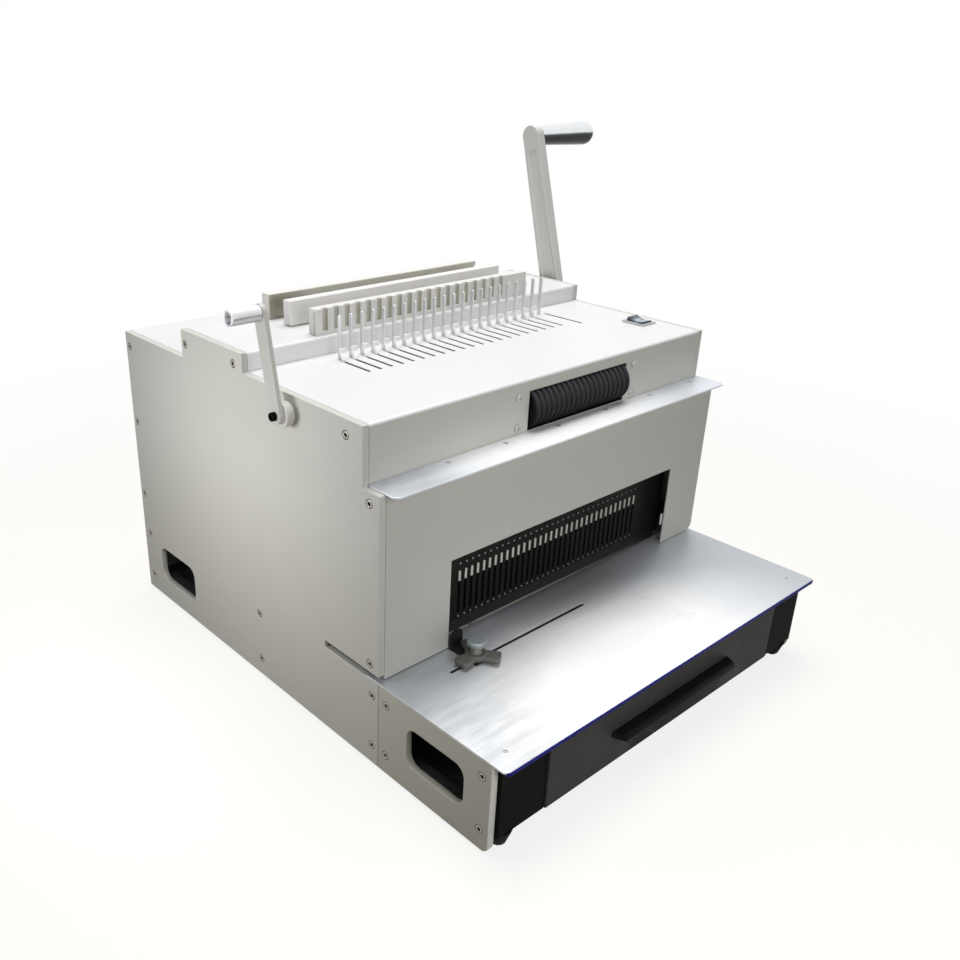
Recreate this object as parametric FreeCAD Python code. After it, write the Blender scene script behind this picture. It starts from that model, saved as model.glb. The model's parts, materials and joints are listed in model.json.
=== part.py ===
import FreeCAD, Part
import math
import os

# Electric office binding machine: punch, comb opener, wire closer and coil roller in one cabinet.
# Origin: middle of the footprint, on the bench. +X to the right, +Y to the rear, +Z up. Millimetres.

# Cabinet
WIDTH = 498.4
SIDE_T = 7.0
HALF = WIDTH / 2
INNER = HALF - SIDE_T
FRONT_Y = -302.5
REAR_Y = 302.5
FLOOR_GAP = 2.0
SHEET = 2.0
FIT_GAP = 0.2
SEAM_GAP = 0.4
BASE_TOP = 97.0
BODY_H = 247.0
PANEL_H = 56.5
RISER_H = 19.0
STEP_H = 30.4
COMB_Z = BASE_TOP + BODY_H
LEDGE_Z = COMB_Z - PANEL_H
UPPER_Z = COMB_Z + RISER_H
REAR_Z = UPPER_Z - STEP_H
FASCIA_Y = -150.7
LEDGE_D = 23.0
SLIT_D = 81.2
PANEL_Y = FASCIA_Y + LEDGE_D
SLIT_REAR_Y = FASCIA_Y + SLIT_D
RISER_Y = 56.8
STEP_Y = 172.0
BASE_CORNER_R = 9.0
BASE_SIDE_SETBACK = 5.5
BASE_SIDE_Y = FRONT_Y + BASE_SIDE_SETBACK
BEND_R = 3.0

# Hand holes in the sides
HOLE_R = 12.0
HOLE_INSET = 38.0
FRONT_HOLE_L = 74.0
FRONT_HOLE_H = 43.0
FRONT_HOLE_Z0 = 31.0
REAR_HOLE_L = 79.0
REAR_HOLE_H = 44.0
REAR_HOLE_Z0 = 28.0
FRONT_HOLE_Y0 = FRONT_Y + HOLE_INSET
FRONT_HOLE_Y1 = FRONT_HOLE_Y0 + FRONT_HOLE_L
FRONT_HOLE_Z1 = FRONT_HOLE_Z0 + FRONT_HOLE_H
REAR_HOLE_Y1 = REAR_Y - HOLE_INSET
REAR_HOLE_Y0 = REAR_HOLE_Y1 - REAR_HOLE_L
REAR_HOLE_Z1 = REAR_HOLE_Z0 + REAR_HOLE_H

# Base
FOOT_H = 18.0
FOOT_R = 13.0
FOOT_SOLE_R = 5.5
FOOT_SIDE_GAP = 0.7
FOOT_SETBACK = 13.2
FOOT_X = INNER - FOOT_SIDE_GAP - FOOT_R
BASE_T = 2.0
RAIL_W = 12.0
LOWER_RAIL_H = 10.0
UPPER_RAIL_W = 22.0
UPPER_RAIL_H = 22.0
POST_T = 12.5
POST_SETBACK = 1.5
POST_Y = FRONT_Y + POST_SETBACK
POST_Z0 = FOOT_H
POST_TOP_GAP = 1.0

# Table, sheet gap and tray
TABLE_T = 2.0
TABLE_HALF = HALF
TABLE_OVERHANG = 9.0
TABLE_FRONT_Y = FRONT_Y - TABLE_OVERHANG
TABLE_CORNER_R = 5.5
TABLE_SCREW_INSET = 14.2
TABLE_SCREW_X = INNER - TABLE_SCREW_INSET
TABLE_SCREW_BACK = 12.0
TABLE_SCREW_Y = FRONT_Y + TABLE_SCREW_BACK
EDGE_STRIP_T = 1.0
EDGE_STRIP_DROP = 1.5
EDGE_STRIP_WRAP = 3.8
SHEET_GAP = 5.5
GUIDE_SLOT_W = 4.0
GUIDE_SLOT_X0 = -186.6
GUIDE_SLOT_X1 = 7.4
GUIDE_SLOT_FORE = 29.8
GUIDE_SLOT_Y = FASCIA_Y - GUIDE_SLOT_FORE
TRAY_T = 2.0
TRAY_LEFT_INSET = 5.2
TRAY_RIGHT_PROUD = 0.8
TRAY_OVERHANG = 15.3
TRAY_X0 = -HALF + TRAY_LEFT_INSET
TRAY_X1 = HALF + TRAY_RIGHT_PROUD
TRAY_FRONT_Y = FASCIA_Y - TRAY_OVERHANG
TRAY_CORNER_R = 7.0
TRAY_SCREW_COUNT = 7
TRAY_SCREW_LEFT = 12.0
TRAY_SCREW_RIGHT = 26.0
TRAY_SCREW_BACK = 15.2
TRAY_SCREW_X0 = TRAY_X0 + TRAY_SCREW_LEFT
TRAY_SCREW_PITCH = (TRAY_X1 - TRAY_SCREW_RIGHT - TRAY_SCREW_X0) / (TRAY_SCREW_COUNT - 1)
TRAY_SCREW_Y = FASCIA_Y + TRAY_SCREW_BACK

# Fascia and throat
FASCIA_GAP = 1.0
THROAT_X0 = -161.0
THROAT_X1 = 188.0
FASCIA_OVER_THROAT = 91.5
THROAT_TOP = LEDGE_Z - FASCIA_OVER_THROAT
FASCIA_CORNER_R = 8.0

# Countersunk side screws
SCREW_HEAD_R = 4.6
SCREW_HEAD_H = 2.4
SCREW_R = 2.4
SCREW_GRIP = 9.0
SOCKET_R = 1.7
SOCKET_DEPTH = 1.6
SCREW_GAP = 0.05

# Punch
PIN_COUNT = 34
PIN_PITCH = 8.467
PIN_R = 2.0
PIN_GAP = 0.05
DIE_X = 9.4
DIE_SETBACK = 19.2
DIE_DEPTH = 28.5
PIN_SETBACK = 9.0
DIE_FACE_Y = FASCIA_Y + DIE_SETBACK
DIE_REAR_Y = DIE_FACE_Y + DIE_DEPTH
PIN_Y = DIE_FACE_Y + PIN_SETBACK
DIE_PLATE_T = 6.0
DIE_HALF = 205.0
DIE_PLATE_HIDDEN = 4.0
DIE_PLATE_TOP = THROAT_TOP + DIE_PLATE_HIDDEN
MATRIX_T = 12.0
FLAG_DROP = 35.0
FLAG_Z = THROAT_TOP - FLAG_DROP
PIN_SLOT_H = 48.5
PIN_SLOT_W = 3.4
PIN_SLOT_TOP = 6.5
FLAG_H = 11.0
FLAG_W = 2.8
FLAG_PROUD = 0.4
STUD_R = 1.1
STUD_OUT = 0.9
LIP_DEPTH = 8.0
LIP_H = 8.0
LIP_EDGE = 1.5
PUNCH_STROKE = 12.0
PUNCH_BAR_H = 20.0
PUNCH_BAR_DROP = 57.0
PUNCH_BAR_LIFT = 37.5
ROD_R = 5.0
RUN_GAP = 0.05
CAM_DROP = 52.5
CAM_SETBACK = 18.5
CAM_Z = LEDGE_Z - CAM_DROP
CAM_Y = DIE_FACE_Y + CAM_SETBACK
PUNCH_BAR_Z0 = CAM_Z - PUNCH_BAR_DROP
BEAM_TOP = PUNCH_BAR_Z0 - PUNCH_BAR_LIFT
CAM_SHAFT_R = 8.0
CAM_FOLLOW_D = 27.0
CAM_FOLLOW_R = 7.0
CAM_TURN = 240.0
CAM_GAP = 0.3
CAM_W = 14.0
CAM_X = 70.0
CAM_PLATE_T = 8.0
CAM_PLATE_RISE = 40.0
CAM_PLATE_REACH = 71.0
CAM_PLATE_TOP = CAM_Z + CAM_PLATE_RISE
CAM_PLATE_REAR = CAM_Y + CAM_PLATE_REACH
GEAR_MODULE = 1.25
GEAR_TEETH = 40
PINION_TEETH = 20
GEAR_W = 10.0
MOTOR_R = 26.0
MOTOR_CAM_GAP = 5.0

# Comb opener
COMB_PITCH = 14.2875
TINE_COUNT = 22
TINE_X0 = -146.8
TINE_T = 2.0
TINE_D = 4.0
TINE_SETBACK = 23.3
TINE_H = 44.7
TINE_Y = RISER_Y - TINE_SETBACK
TINE_TOP = COMB_Z + TINE_H
TINE_BAR_H = 12.0
HOOK_COUNT = 21
HOOK_OFFSET = -2.0
HOOK_T = 2.4
HOOK_D = 3.0
HOOK_FORE = 8.0
HOOK_Y = TINE_Y - HOOK_FORE
HOOK_LEAN = 5.1
HOOK_NECK = 7.0
HOOK_TONGUE_W = 9.0
HOOK_TONGUE_H = 5.0
SLOT_RUN_OUT = 13.8
SLOT_SIDE_GAP = 0.5
LONG_SLOT_OUT = 9.3
LONG_SLOT_L = 57.1
LONG_SLOT_W = 3.6
CRANK_FORE = 46.0
CRANK_DROP = 18.5
CRANK_Y = HOOK_Y - CRANK_FORE
CRANK_Z = COMB_Z - CRANK_DROP
CRANK_LEAN = 12.0
CRANK_LENGTH = 93.0
CRANK_W = 16.5
CRANK_T = 5.0
CRANK_HUB_R = 13.5
CRANK_HUB_FOOT_R = 11.5
CRANK_SCREW_R = 4.2
CRANK_SCREW_L = 4.2
CRANK_HUB_L = 10.4
CRANK_SHAFT_R = 6.0
CRANK_GRIP_R = 7.5
CRANK_GRIP_BORE = 5.5
CRANK_GRIP_L = 31.0
CRANK_TURN = 130.0
RACK_MODULE = 1.0
RACK_TEETH = 24
RACK_W = 8.0
CARRIAGE_D = 10.0
CARRIAGE_H = 6.0
CARRIAGE_GAP = 0.4
OUT_GAP = 0.4
BUSH_GAP = 0.1

# Wire closer
BAR_H = 27.0
BAR_X0 = -156.0
SLOT_BAR_X1 = 156.5
SLOT_BAR_SETBACK = 5.7
SLOT_BAR_Y = RISER_Y + SLOT_BAR_SETBACK
SLOT_BAR_D = 12.0
GROOVE_COUNT = 19
GROOVE_X0 = -144.0
GROOVE_W = 6.5
GROOVE_DEPTH = 4.0
GROOVE_FOOT = 4.0
PRESS_BAR_X1 = 156.5
PRESS_BAR_FORE = 36.0
PRESS_BAR_D = 12.0
PRESS_BAR_GAP = 1.0
ANVIL_X1 = 152.0
ANVIL_FORE = 28.5
ANVIL_Y = STEP_Y - ANVIL_FORE
PRESS_BAR_Y = ANVIL_Y - PRESS_BAR_FORE
ANVIL_D = 16.0
ANVIL_LIP = 2.0
LEVER_FORE = 11.0
LEVER_DROP = 57.0
LEVER_Y = PRESS_BAR_Y - LEVER_FORE
LEVER_Z = UPPER_Z - LEVER_DROP
LEVER_LEAN = 15.4
LEVER_LENGTH = 235.5
LEVER_W = 25.0
LEVER_FOOT_W = 29.0
LEVER_T = 13.0
LEVER_BAND_W = 14.0
LEVER_BAND_D = 1.5
LEVER_BAND_TOP = 29.0
LEVER_BAND_FOOT = 30.0
LEVER_BAND_REAR = 4.6
LEVER_OUT = 6.0
LEVER_SHAFT_R = 7.0
LEVER_GRIP_R = 11.8
LEVER_GRIP_END_R = 15.0
LEVER_GRIP_TIP_R = 8.0
LEVER_GRIP_L = 101.0
LEVER_GRIP_NOSE = 12.0
LEVER_TURN = 90.0
PRESS_RACK_X = 120.0
PRESS_RACK_H = 7.0
PRESS_POST_D = 8.5

# Coil roller
ROLLER_R = 22.0
ROLLER_GROOVE = 1.7
ROLLER_X0 = -39.5
ROLLER_X1 = 109.5
ROLLER_RIBS = 20
ROLLER_LIFT = 23.5
ROLLER_PROUD = 9.0
ROLLER_LEFT_GAP = 2.0
ROLLER_RIGHT_GAP = 1.5
CUTOUT_LIFT = 2.5
CUTOUT_H = 41.0
ROLLER_Z = LEDGE_Z + ROLLER_LIFT
CUTOUT_X0 = ROLLER_X0 - ROLLER_LEFT_GAP
CUTOUT_X1 = ROLLER_X1 + ROLLER_RIGHT_GAP
CUTOUT_Z0 = LEDGE_Z + CUTOUT_LIFT
CUTOUT_Z1 = CUTOUT_Z0 + CUTOUT_H
ROLLER_SHAFT_R = 5.0
COIL_MODULE = 1.0
COIL_TEETH = 18
COIL_PINION_TEETH = 14
COIL_MOTOR_R = 17.0
COIL_MOTOR_L = 50.0
BRACKET_T = 4.0
BRACKET_FLANGE = 14.0
PANEL_SCREW_R = 4.0

# Power switch
SWITCH_W = 25.0
SWITCH_L = 30.0
SWITCH_SIDE = 19.2
SWITCH_BACK = 50.2
SWITCH_X1 = HALF - SWITCH_SIDE
SWITCH_X0 = SWITCH_X1 - SWITCH_W
SWITCH_Y0 = PANEL_Y + SWITCH_BACK
SWITCH_Y1 = SWITCH_Y0 + SWITCH_L
SWITCH_RIM = 3.0
SWITCH_TILT = 7.0
ROCKER_PIN_R = 1.5
ROCKER_PIN_L = 1.4

# Waste drawer
LEFT_POST_W = 59.4
RIGHT_POST_W = 53.9
DRAWER_GAP = 0.3
DRAWER_X0 = -INNER + LEFT_POST_W + DRAWER_GAP
DRAWER_X1 = INNER - RIGHT_POST_W - DRAWER_GAP
DRAWER_TABLE_GAP = 4.0
DRAWER_Z0 = FOOT_H
DRAWER_Z1 = BASE_TOP - DRAWER_TABLE_GAP
DRAWER_T = 8.0
BIN_INSET = 12.5
BIN_DEPTH = 234.5
BIN_HEADROOM = 13.0
BIN_X0 = DRAWER_X0 + BIN_INSET
BIN_X1 = DRAWER_X1 - BIN_INSET
BIN_Y0 = FRONT_Y + DRAWER_T
BIN_Y1 = BIN_Y0 + BIN_DEPTH
BIN_TOP = DRAWER_Z1 - BIN_HEADROOM
BIN_WALL = 1.5
RUNNER_T = 3.0
RUNNER_W = 16.0
RUNNER_H = 29.0
HANDLE_X = (DRAWER_X0 + DRAWER_X1) / 2
HANDLE_HALF = 97.0
HANDLE_SLANT = 6.0
HANDLE_OUT = 14.0
HANDLE_LIFT = 39.5
HANDLE_H = 6.8
HANDLE_BELLY_H = 18.5
HANDLE_BELLY_HALF = 46.0
HANDLE_NECK_HALF = 62.0
HANDLE_EDGE_R = 4.5
HANDLE_WALL = 3.0

# Side guide and star knob
KNOB_X = -153.0
KNOB_BODY_R = 10.5
KNOB_BODY_H = 5.6
KNOB_NECK_R = 5.5
KNOB_NECK_H = 8.6
KNOB_CAP_R = 9.5
KNOB_CAP_H = 5.0
KNOB_LOBE_R = 24.0
KNOB_LOBE_HALF = 8.5
KNOB_LOBE_T = 4.8
KNOB_LOBE_TURN = -55.0
GUIDE_HALF_W = 8.0
GUIDE_PLATE_T = 2.7
FLANGE_T = 2.0
FLANGE_GAP = 0.8
GUIDE_GAP = 0.3
GUIDE_H = 20.0

TABLE_TOP = BASE_TOP + TABLE_T
SLIT_TOP = TABLE_TOP + SHEET_GAP
GUIDE_TOP = TABLE_TOP + GUIDE_H
PIN_SLOT_Z1 = FLAG_Z + PIN_SLOT_TOP
PIN_SLOT_Z0 = PIN_SLOT_Z1 - PIN_SLOT_H
MATRIX_FRONT_Y = DIE_FACE_Y - 0.5
DECK_UNDER = COMB_Z - SHEET
UPPER_UNDER = UPPER_Z - SHEET
X_AXIS = FreeCAD.Vector(1, 0, 0)
Y_AXIS = FreeCAD.Vector(0, 1, 0)
Z_AXIS = FreeCAD.Vector(0, 0, 1)


def vec(x, y, z):
    return FreeCAD.Vector(x, y, z)


def box(x0, x1, y0, y1, z0, z1):
    return Part.makeBox(x1 - x0, y1 - y0, z1 - z0, vec(x0, y0, z0))


def rod_x(y, z, r, x0, x1):
    return Part.makeCylinder(r, x1 - x0, vec(x0, y, z), X_AXIS)


def rod_y(x, z, r, y0, y1):
    return Part.makeCylinder(r, y1 - y0, vec(x, y0, z), Y_AXIS)


def rod_z(x, y, r, z0, z1):
    return Part.makeCylinder(r, z1 - z0, vec(x, y, z0), Z_AXIS)


def face_of(points):
    return Part.Face(Part.makePolygon(points + [points[0]]))


def slab_x(points, x0, x1):
    flat = [vec(x0, y, z) for y, z in points]
    return face_of(flat).extrude(vec(x1 - x0, 0, 0))


def slab_y(points, y0, y1):
    flat = [vec(x, y0, z) for x, z in points]
    return face_of(flat).extrude(vec(0, y1 - y0, 0))


def slab_z(points, z0, z1):
    flat = [vec(x, y, z0) for x, y in points]
    return face_of(flat).extrude(vec(0, 0, z1 - z0))


def cut(shape, tools):
    return shape.cut(tools) if tools else shape


def join(shapes):
    return shapes[0].multiFuse(shapes[1:]).removeSplitter()


def round_edges(shape, radius, axis, test):
    picked = []
    for edge in shape.Edges:
        if len(edge.Vertexes) != 2:
            continue
        a = edge.Vertexes[0].Point
        b = edge.Vertexes[1].Point
        run = b - a
        if run.Length < 1e-6 or abs(run.normalize().dot(axis)) < 0.999:
            continue
        if test((a + b) * 0.5):
            picked.append(edge)
    return shape.makeFillet(radius, picked)


def near(a, b):
    return abs(a - b) < 0.01


def round_hole_x(y0, y1, z0, z1, r, x0, x1):
    return round_edges(box(x0, x1, y0, y1, z0, z1), r, X_AXIS, lambda p: True)


def mirrored(shape):
    return shape.mirror(vec(0, 0, 0), X_AXIS)


def save(name, shapes):
    solids = [solid for shape in shapes for solid in shape.Solids]
    whole = solids[0] if len(solids) == 1 else Part.makeCompound(solids)
    whole.exportStep("parts/" + name + ".step")
    low = whole.BoundBox
    print(name, len(solids), whole.isValid(), round(low.XMin, 1), round(low.XMax, 1),
          round(low.YMin, 1), round(low.YMax, 1), round(low.ZMin, 1), round(low.ZMax, 1))


def involute(radius, angle):
    return radius * math.sqrt(1 + angle * angle), angle - math.atan(angle)


def gear_points(module, teeth, phase):
    pressure = math.radians(20)
    pitch_r = module * teeth / 2
    base_r = pitch_r * math.cos(pressure)
    tip_r = pitch_r + 0.85 * module
    root_r = pitch_r - 1.2 * module
    half = (math.pi / 2 - 0.16) / teeth + math.tan(pressure) - pressure
    start = max(base_r, root_r)
    steps = 5
    flank = []
    for i in range(steps + 1):
        r = start + (tip_r - start) * i / steps
        roll = math.sqrt(max((r / base_r) ** 2 - 1, 0))
        flank.append((r, half - involute(base_r, roll)[1]))
    points = []
    for tooth in range(teeth):
        mid = phase + 2 * math.pi * tooth / teeth
        side = [(root_r, flank[0][1])] + flank if start > root_r else flank
        for r, a in side:
            points.append((r * math.cos(mid - a), r * math.sin(mid - a)))
        for r, a in reversed(side):
            points.append((r * math.cos(mid + a), r * math.sin(mid + a)))
    return points


def gear_x(y, z, module, teeth, phase, x0, x1):
    points = [(y + a, z + b) for a, b in gear_points(module, teeth, phase)]
    return slab_x(points, x0, x1)


def rack_teeth(y0, y1, pitch_z, sign, module, centre_y):
    # Straight-flanked teeth along Y that point to sign, with a gap at centre_y.
    pitch = math.pi * module
    lean = math.tan(math.radians(20))
    tip = 0.85 * module
    root = 1.2 * module
    half = pitch / 4 - 0.08 * module
    teeth = []
    first = int(math.floor((y0 - centre_y) / pitch)) - 1
    last = int(math.ceil((y1 - centre_y) / pitch)) + 1
    for i in range(first, last):
        mid = centre_y + (i + 0.5) * pitch
        if mid - half - root * lean < y0 or mid + half + root * lean > y1:
            continue
        points = [(mid - half - root * lean, pitch_z - sign * root * 1.02),
                  (mid - half + tip * lean, pitch_z + sign * tip),
                  (mid + half - tip * lean, pitch_z + sign * tip),
                  (mid + half + root * lean, pitch_z - sign * root * 1.02)]
        teeth.append(points)
    return teeth


def bush(y, z, bore, outer, flange_r, inner_x, outer_x):
    step = 3.0 if inner_x < outer_x else -3.0
    parts = [rod_x(y, z, outer, min(inner_x, outer_x), max(inner_x, outer_x)),
             rod_x(y, z, flange_r, min(inner_x, inner_x - step), max(inner_x, inner_x - step))]
    hole = rod_x(y, z, bore, -WIDTH, WIDTH)
    return join(parts).cut(hole)


# Places of the screws along each side, as (y, z)
REAR_SCREW_Y = REAR_Y - 8.0
COVER_SCREWS = [(REAR_SCREW_Y, REAR_Z - 16.6), (REAR_SCREW_Y, 225.0), (REAR_SCREW_Y, 132.0)]
STEP_SCREW = (STEP_Y - 7.0, UPPER_Z - 15.0)
RISER_SCREW = (RISER_Y + 15.7, UPPER_Z - 13.5)
DECK_SCREW = (PANEL_Y + 23.6, COMB_Z - 15.0)
LEDGE_SCREW = (FASCIA_Y + 14.6, LEDGE_Z - 12.0)
DIE_SCREW = (FASCIA_Y + 12.9, SLIT_TOP + 8.9)
SEAM_OFFSET = 9.6
BACK_RAIL_SCREWS = [REAR_Y - 13.0, 47.0, FASCIA_Y + SEAM_OFFSET]
BASE_RAIL_SCREWS = [FASCIA_Y - SEAM_OFFSET - 1.2, FRONT_Y + 17.4]
UPPER_RAIL_Z = BASE_TOP - UPPER_RAIL_H
UPPER_SCREW_Z = UPPER_RAIL_Z + 4.6
LOWER_SCREW_Z = FOOT_H + LOWER_RAIL_H / 2 - 0.4
BACK_SCREWS = COVER_SCREWS + [STEP_SCREW, RISER_SCREW, DECK_SCREW, LEDGE_SCREW, DIE_SCREW]
for rail_y in BACK_RAIL_SCREWS:
    BACK_SCREWS += [(rail_y, UPPER_SCREW_Z), (rail_y, LOWER_SCREW_Z)]
BASE_SCREWS = []
for rail_y in BASE_RAIL_SCREWS:
    BASE_SCREWS += [(rail_y, UPPER_SCREW_Z), (rail_y, LOWER_SCREW_Z)]


def side_screw(y, z):
    head = Part.makeCone(SCREW_R, SCREW_HEAD_R, SCREW_HEAD_H, vec(HALF - SCREW_HEAD_H, y, z), X_AXIS)
    shank = rod_x(y, z, SCREW_R, HALF - SIDE_T - SCREW_GRIP, HALF - SCREW_HEAD_H)
    socket = []
    for i in range(6):
        a = math.pi * i / 3
        socket.append((y + SOCKET_R * math.cos(a), z + SOCKET_R * math.sin(a)))
    return join([head, shank]).cut(slab_x(socket, HALF - SOCKET_DEPTH, HALF + 1))


def side_hole(y, z):
    top = SCREW_HEAD_R + SCREW_GAP
    low = SCREW_R + SCREW_GAP
    sink = Part.makeCone(low, top, SCREW_HEAD_H, vec(HALF - SCREW_HEAD_H, y, z), X_AXIS)
    return [sink, rod_x(y, z, low, HALF - SIDE_T - SCREW_GRIP - 0.5, HALF - SCREW_HEAD_H + 0.1)]


def side_holes(places):
    return [tool for y, z in places for tool in side_hole(y, z)]


def flush_screw(x, y, z):
    head = Part.makeCone(1.5, 2.8, 1.4, vec(x, y, z - 1.4), Z_AXIS)
    shank = rod_z(x, y, 1.5, z - 5.5, z - 1.4)
    slot = rod_z(x, y, 1.1, z - 0.8, z + 1)
    return join([head, shank]).cut(slot)


def flush_hole(x, y, z):
    sink = Part.makeCone(1.5 + SCREW_GAP, 2.8 + SCREW_GAP, 1.4, vec(x, y, z - 1.4), Z_AXIS)
    return join([sink, rod_z(x, y, 1.5 + SCREW_GAP, z - 6, z - 1.35)])


os.makedirs("parts", exist_ok=True)

# Side panels
SEAM_Y = FASCIA_Y + FIT_GAP


def side_profile(front_y):
    return [(REAR_Y, FLOOR_GAP), (REAR_Y, REAR_Z), (STEP_Y, REAR_Z), (STEP_Y, UPPER_Z),
            (RISER_Y, UPPER_Z), (RISER_Y, COMB_Z), (PANEL_Y, COMB_Z), (PANEL_Y, LEDGE_Z),
            (front_y, LEDGE_Z), (front_y, SLIT_TOP), (SLIT_REAR_Y, SLIT_TOP),
            (SLIT_REAR_Y, BASE_TOP), (SEAM_Y, BASE_TOP), (SEAM_Y, FLOOR_GAP)]


def side_panel(front_y, shaft):
    body = slab_x(side_profile(front_y), INNER, HALF)
    hole = round_hole_x(REAR_HOLE_Y0, REAR_HOLE_Y1, REAR_HOLE_Z0, REAR_HOLE_Z1, HOLE_R,
                        INNER - 1, HALF + 1)
    y, z, r = shaft
    return cut(body, [hole, rod_x(y, z, r, INNER - 1, HALF + 1)] + side_holes(BACK_SCREWS))


CRANK_BUSH_R = CRANK_SHAFT_R + 3.0
LEVER_BUSH_R = LEVER_SHAFT_R + 3.0
left_panel = mirrored(side_panel(FASCIA_Y, (CRANK_Y, CRANK_Z, CRANK_BUSH_R + BUSH_GAP)))
right_panel = side_panel(FASCIA_Y + SHEET + 0.1, (LEVER_Y, LEVER_Z, LEVER_BUSH_R + BUSH_GAP))
save("left_side_panel", [left_panel])
save("right_side_panel", [right_panel])

base_side = box(INNER, HALF, BASE_SIDE_Y, SEAM_Y - SEAM_GAP, FLOOR_GAP, BASE_TOP)
base_side = round_edges(base_side, BASE_CORNER_R, X_AXIS,
                        lambda p: near(p.y, BASE_SIDE_Y) and near(p.z, FLOOR_GAP))
front_hole = round_hole_x(FRONT_HOLE_Y0, FRONT_HOLE_Y1, FRONT_HOLE_Z0, FRONT_HOLE_Z1, HOLE_R,
                          INNER - 1, HALF + 1)
base_side = cut(base_side, [front_hole] + side_holes(BASE_SCREWS))
save("right_base_panel", [base_side])
save("left_base_panel", [mirrored(base_side)])

right_screws = [side_screw(y, z) for y, z in BACK_SCREWS + BASE_SCREWS]
save("side_screws", right_screws + [mirrored(screw) for screw in right_screws])

# Base plate, rails, blocks and feet
BASE_FRONT = FRONT_Y + POST_T
BACK_INNER = REAR_Y - SHEET
save("base_plate", [box(-INNER + RAIL_W, INNER - RAIL_W, BASE_FRONT, BACK_INNER, FOOT_H, FOOT_H + BASE_T)])

lower_rail = box(INNER - RAIL_W, INNER, BASE_FRONT, BACK_INNER, FOOT_H, FOOT_H + LOWER_RAIL_H)
upper_rail = box(INNER - UPPER_RAIL_W, INNER, BASE_FRONT, BACK_INNER, UPPER_RAIL_Z, BASE_TOP)
upper_rail = upper_rail.cut(flush_hole(TABLE_SCREW_X, TABLE_SCREW_Y, TABLE_TOP))
rail_pair = [cut(rail, side_holes(BACK_SCREWS + BASE_SCREWS)) for rail in (lower_rail, upper_rail)]
rails = rail_pair + [mirrored(rail) for rail in rail_pair]


TRAY_TOP = LEDGE_Z + TRAY_T
tray_screw_x = [TRAY_SCREW_X0 + TRAY_SCREW_PITCH * i for i in range(TRAY_SCREW_COUNT)]
tray_holes = [flush_hole(x, TRAY_SCREW_Y, TRAY_TOP) for x in tray_screw_x]
table_holes = [flush_hole(x, TABLE_SCREW_Y, TABLE_TOP) for x in (-TABLE_SCREW_X, TABLE_SCREW_X)]


def side_block(y0, y1, z0, z1):
    return cut(box(INNER - RAIL_W, INNER, y0, y1, z0, z1), side_holes(BACK_SCREWS))


BLOCK = 9.0
blocks = [side_block(REAR_SCREW_Y - BLOCK, BACK_INNER, COVER_SCREWS[0][1] - BLOCK, REAR_Z - SHEET)]
for y, z in COVER_SCREWS[1:]:
    blocks.append(side_block(y - BLOCK, BACK_INNER, z - BLOCK, z + BLOCK))
blocks.append(side_block(STEP_SCREW[0] - BLOCK, STEP_Y - SHEET, STEP_SCREW[1] - BLOCK, UPPER_UNDER))
blocks.append(side_block(RISER_Y + SHEET, RISER_SCREW[0] + BLOCK, RISER_SCREW[1] - 5, UPPER_UNDER))
blocks.append(side_block(DECK_SCREW[0] - BLOCK, DECK_SCREW[0] + BLOCK, DECK_SCREW[1] - BLOCK, DECK_UNDER))
blocks.append(side_block(LEDGE_SCREW[0] - BLOCK, LEDGE_SCREW[0] + 6, LEDGE_SCREW[1] - BLOCK, LEDGE_Z - SHEET))
save("corner_blocks", [cut(block, tray_holes) for block in blocks + [mirrored(b) for b in blocks]])


def foot(x, y):
    flare = FOOT_R - FOOT_SOLE_R
    points = [(0, 0), (FOOT_SOLE_R, 0), (FOOT_SOLE_R + flare * 0.3, FOOT_H * 0.13), (FOOT_R - 0.4, FOOT_H * 0.91),
              (FOOT_R, FOOT_H), (0, FOOT_H)]
    body = face_of([vec(r, 0, z) for r, z in points]).revolve(vec(0, 0, 0), Z_AXIS, 360)
    body.translate(vec(x, y, 0))
    return body


save("rubber_feet", [foot(sx * FOOT_X, y) for sx in (-1, 1) for y in (FRONT_Y + FOOT_SETBACK, REAR_Y - FOOT_SETBACK)])

# Rear cover with vents and the opening of the mains inlet
INLET_SIDE = 42.2
INLET_W = 28.0
INLET_H = 22.0
INLET_LIFT = 24.0
INLET_DEPTH = 22.0
INLET_RIM = 3.0
INLET_X0 = -INNER + INLET_SIDE
INLET_X1 = INLET_X0 + INLET_W
INLET_Z0 = FOOT_H + BASE_T + INLET_LIFT
INLET_Z1 = INLET_Z0 + INLET_H
VENT_W = 60.0
VENT_H = 4.0
VENT_PITCH = 12.0
VENT_ROWS = 10
VENT_X = 120.0
VENT_DROP = 172.6
cover = box(-INNER + FIT_GAP, INNER - FIT_GAP, BACK_INNER, REAR_Y, FOOT_H, REAR_Z - SHEET)
vents = []
for row in range(VENT_ROWS):
    z = REAR_Z - VENT_DROP + row * VENT_PITCH
    for x in (-VENT_X, VENT_X):
        vents.append(box(x - VENT_W / 2, x + VENT_W / 2, BACK_INNER - 1, REAR_Y + 1, z, z + VENT_H))
vents.append(box(INLET_X0, INLET_X1, BACK_INNER - 1, REAR_Y + 1, INLET_Z0, INLET_Z1))
save("rear_cover", [cut(cover, vents)])

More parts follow.
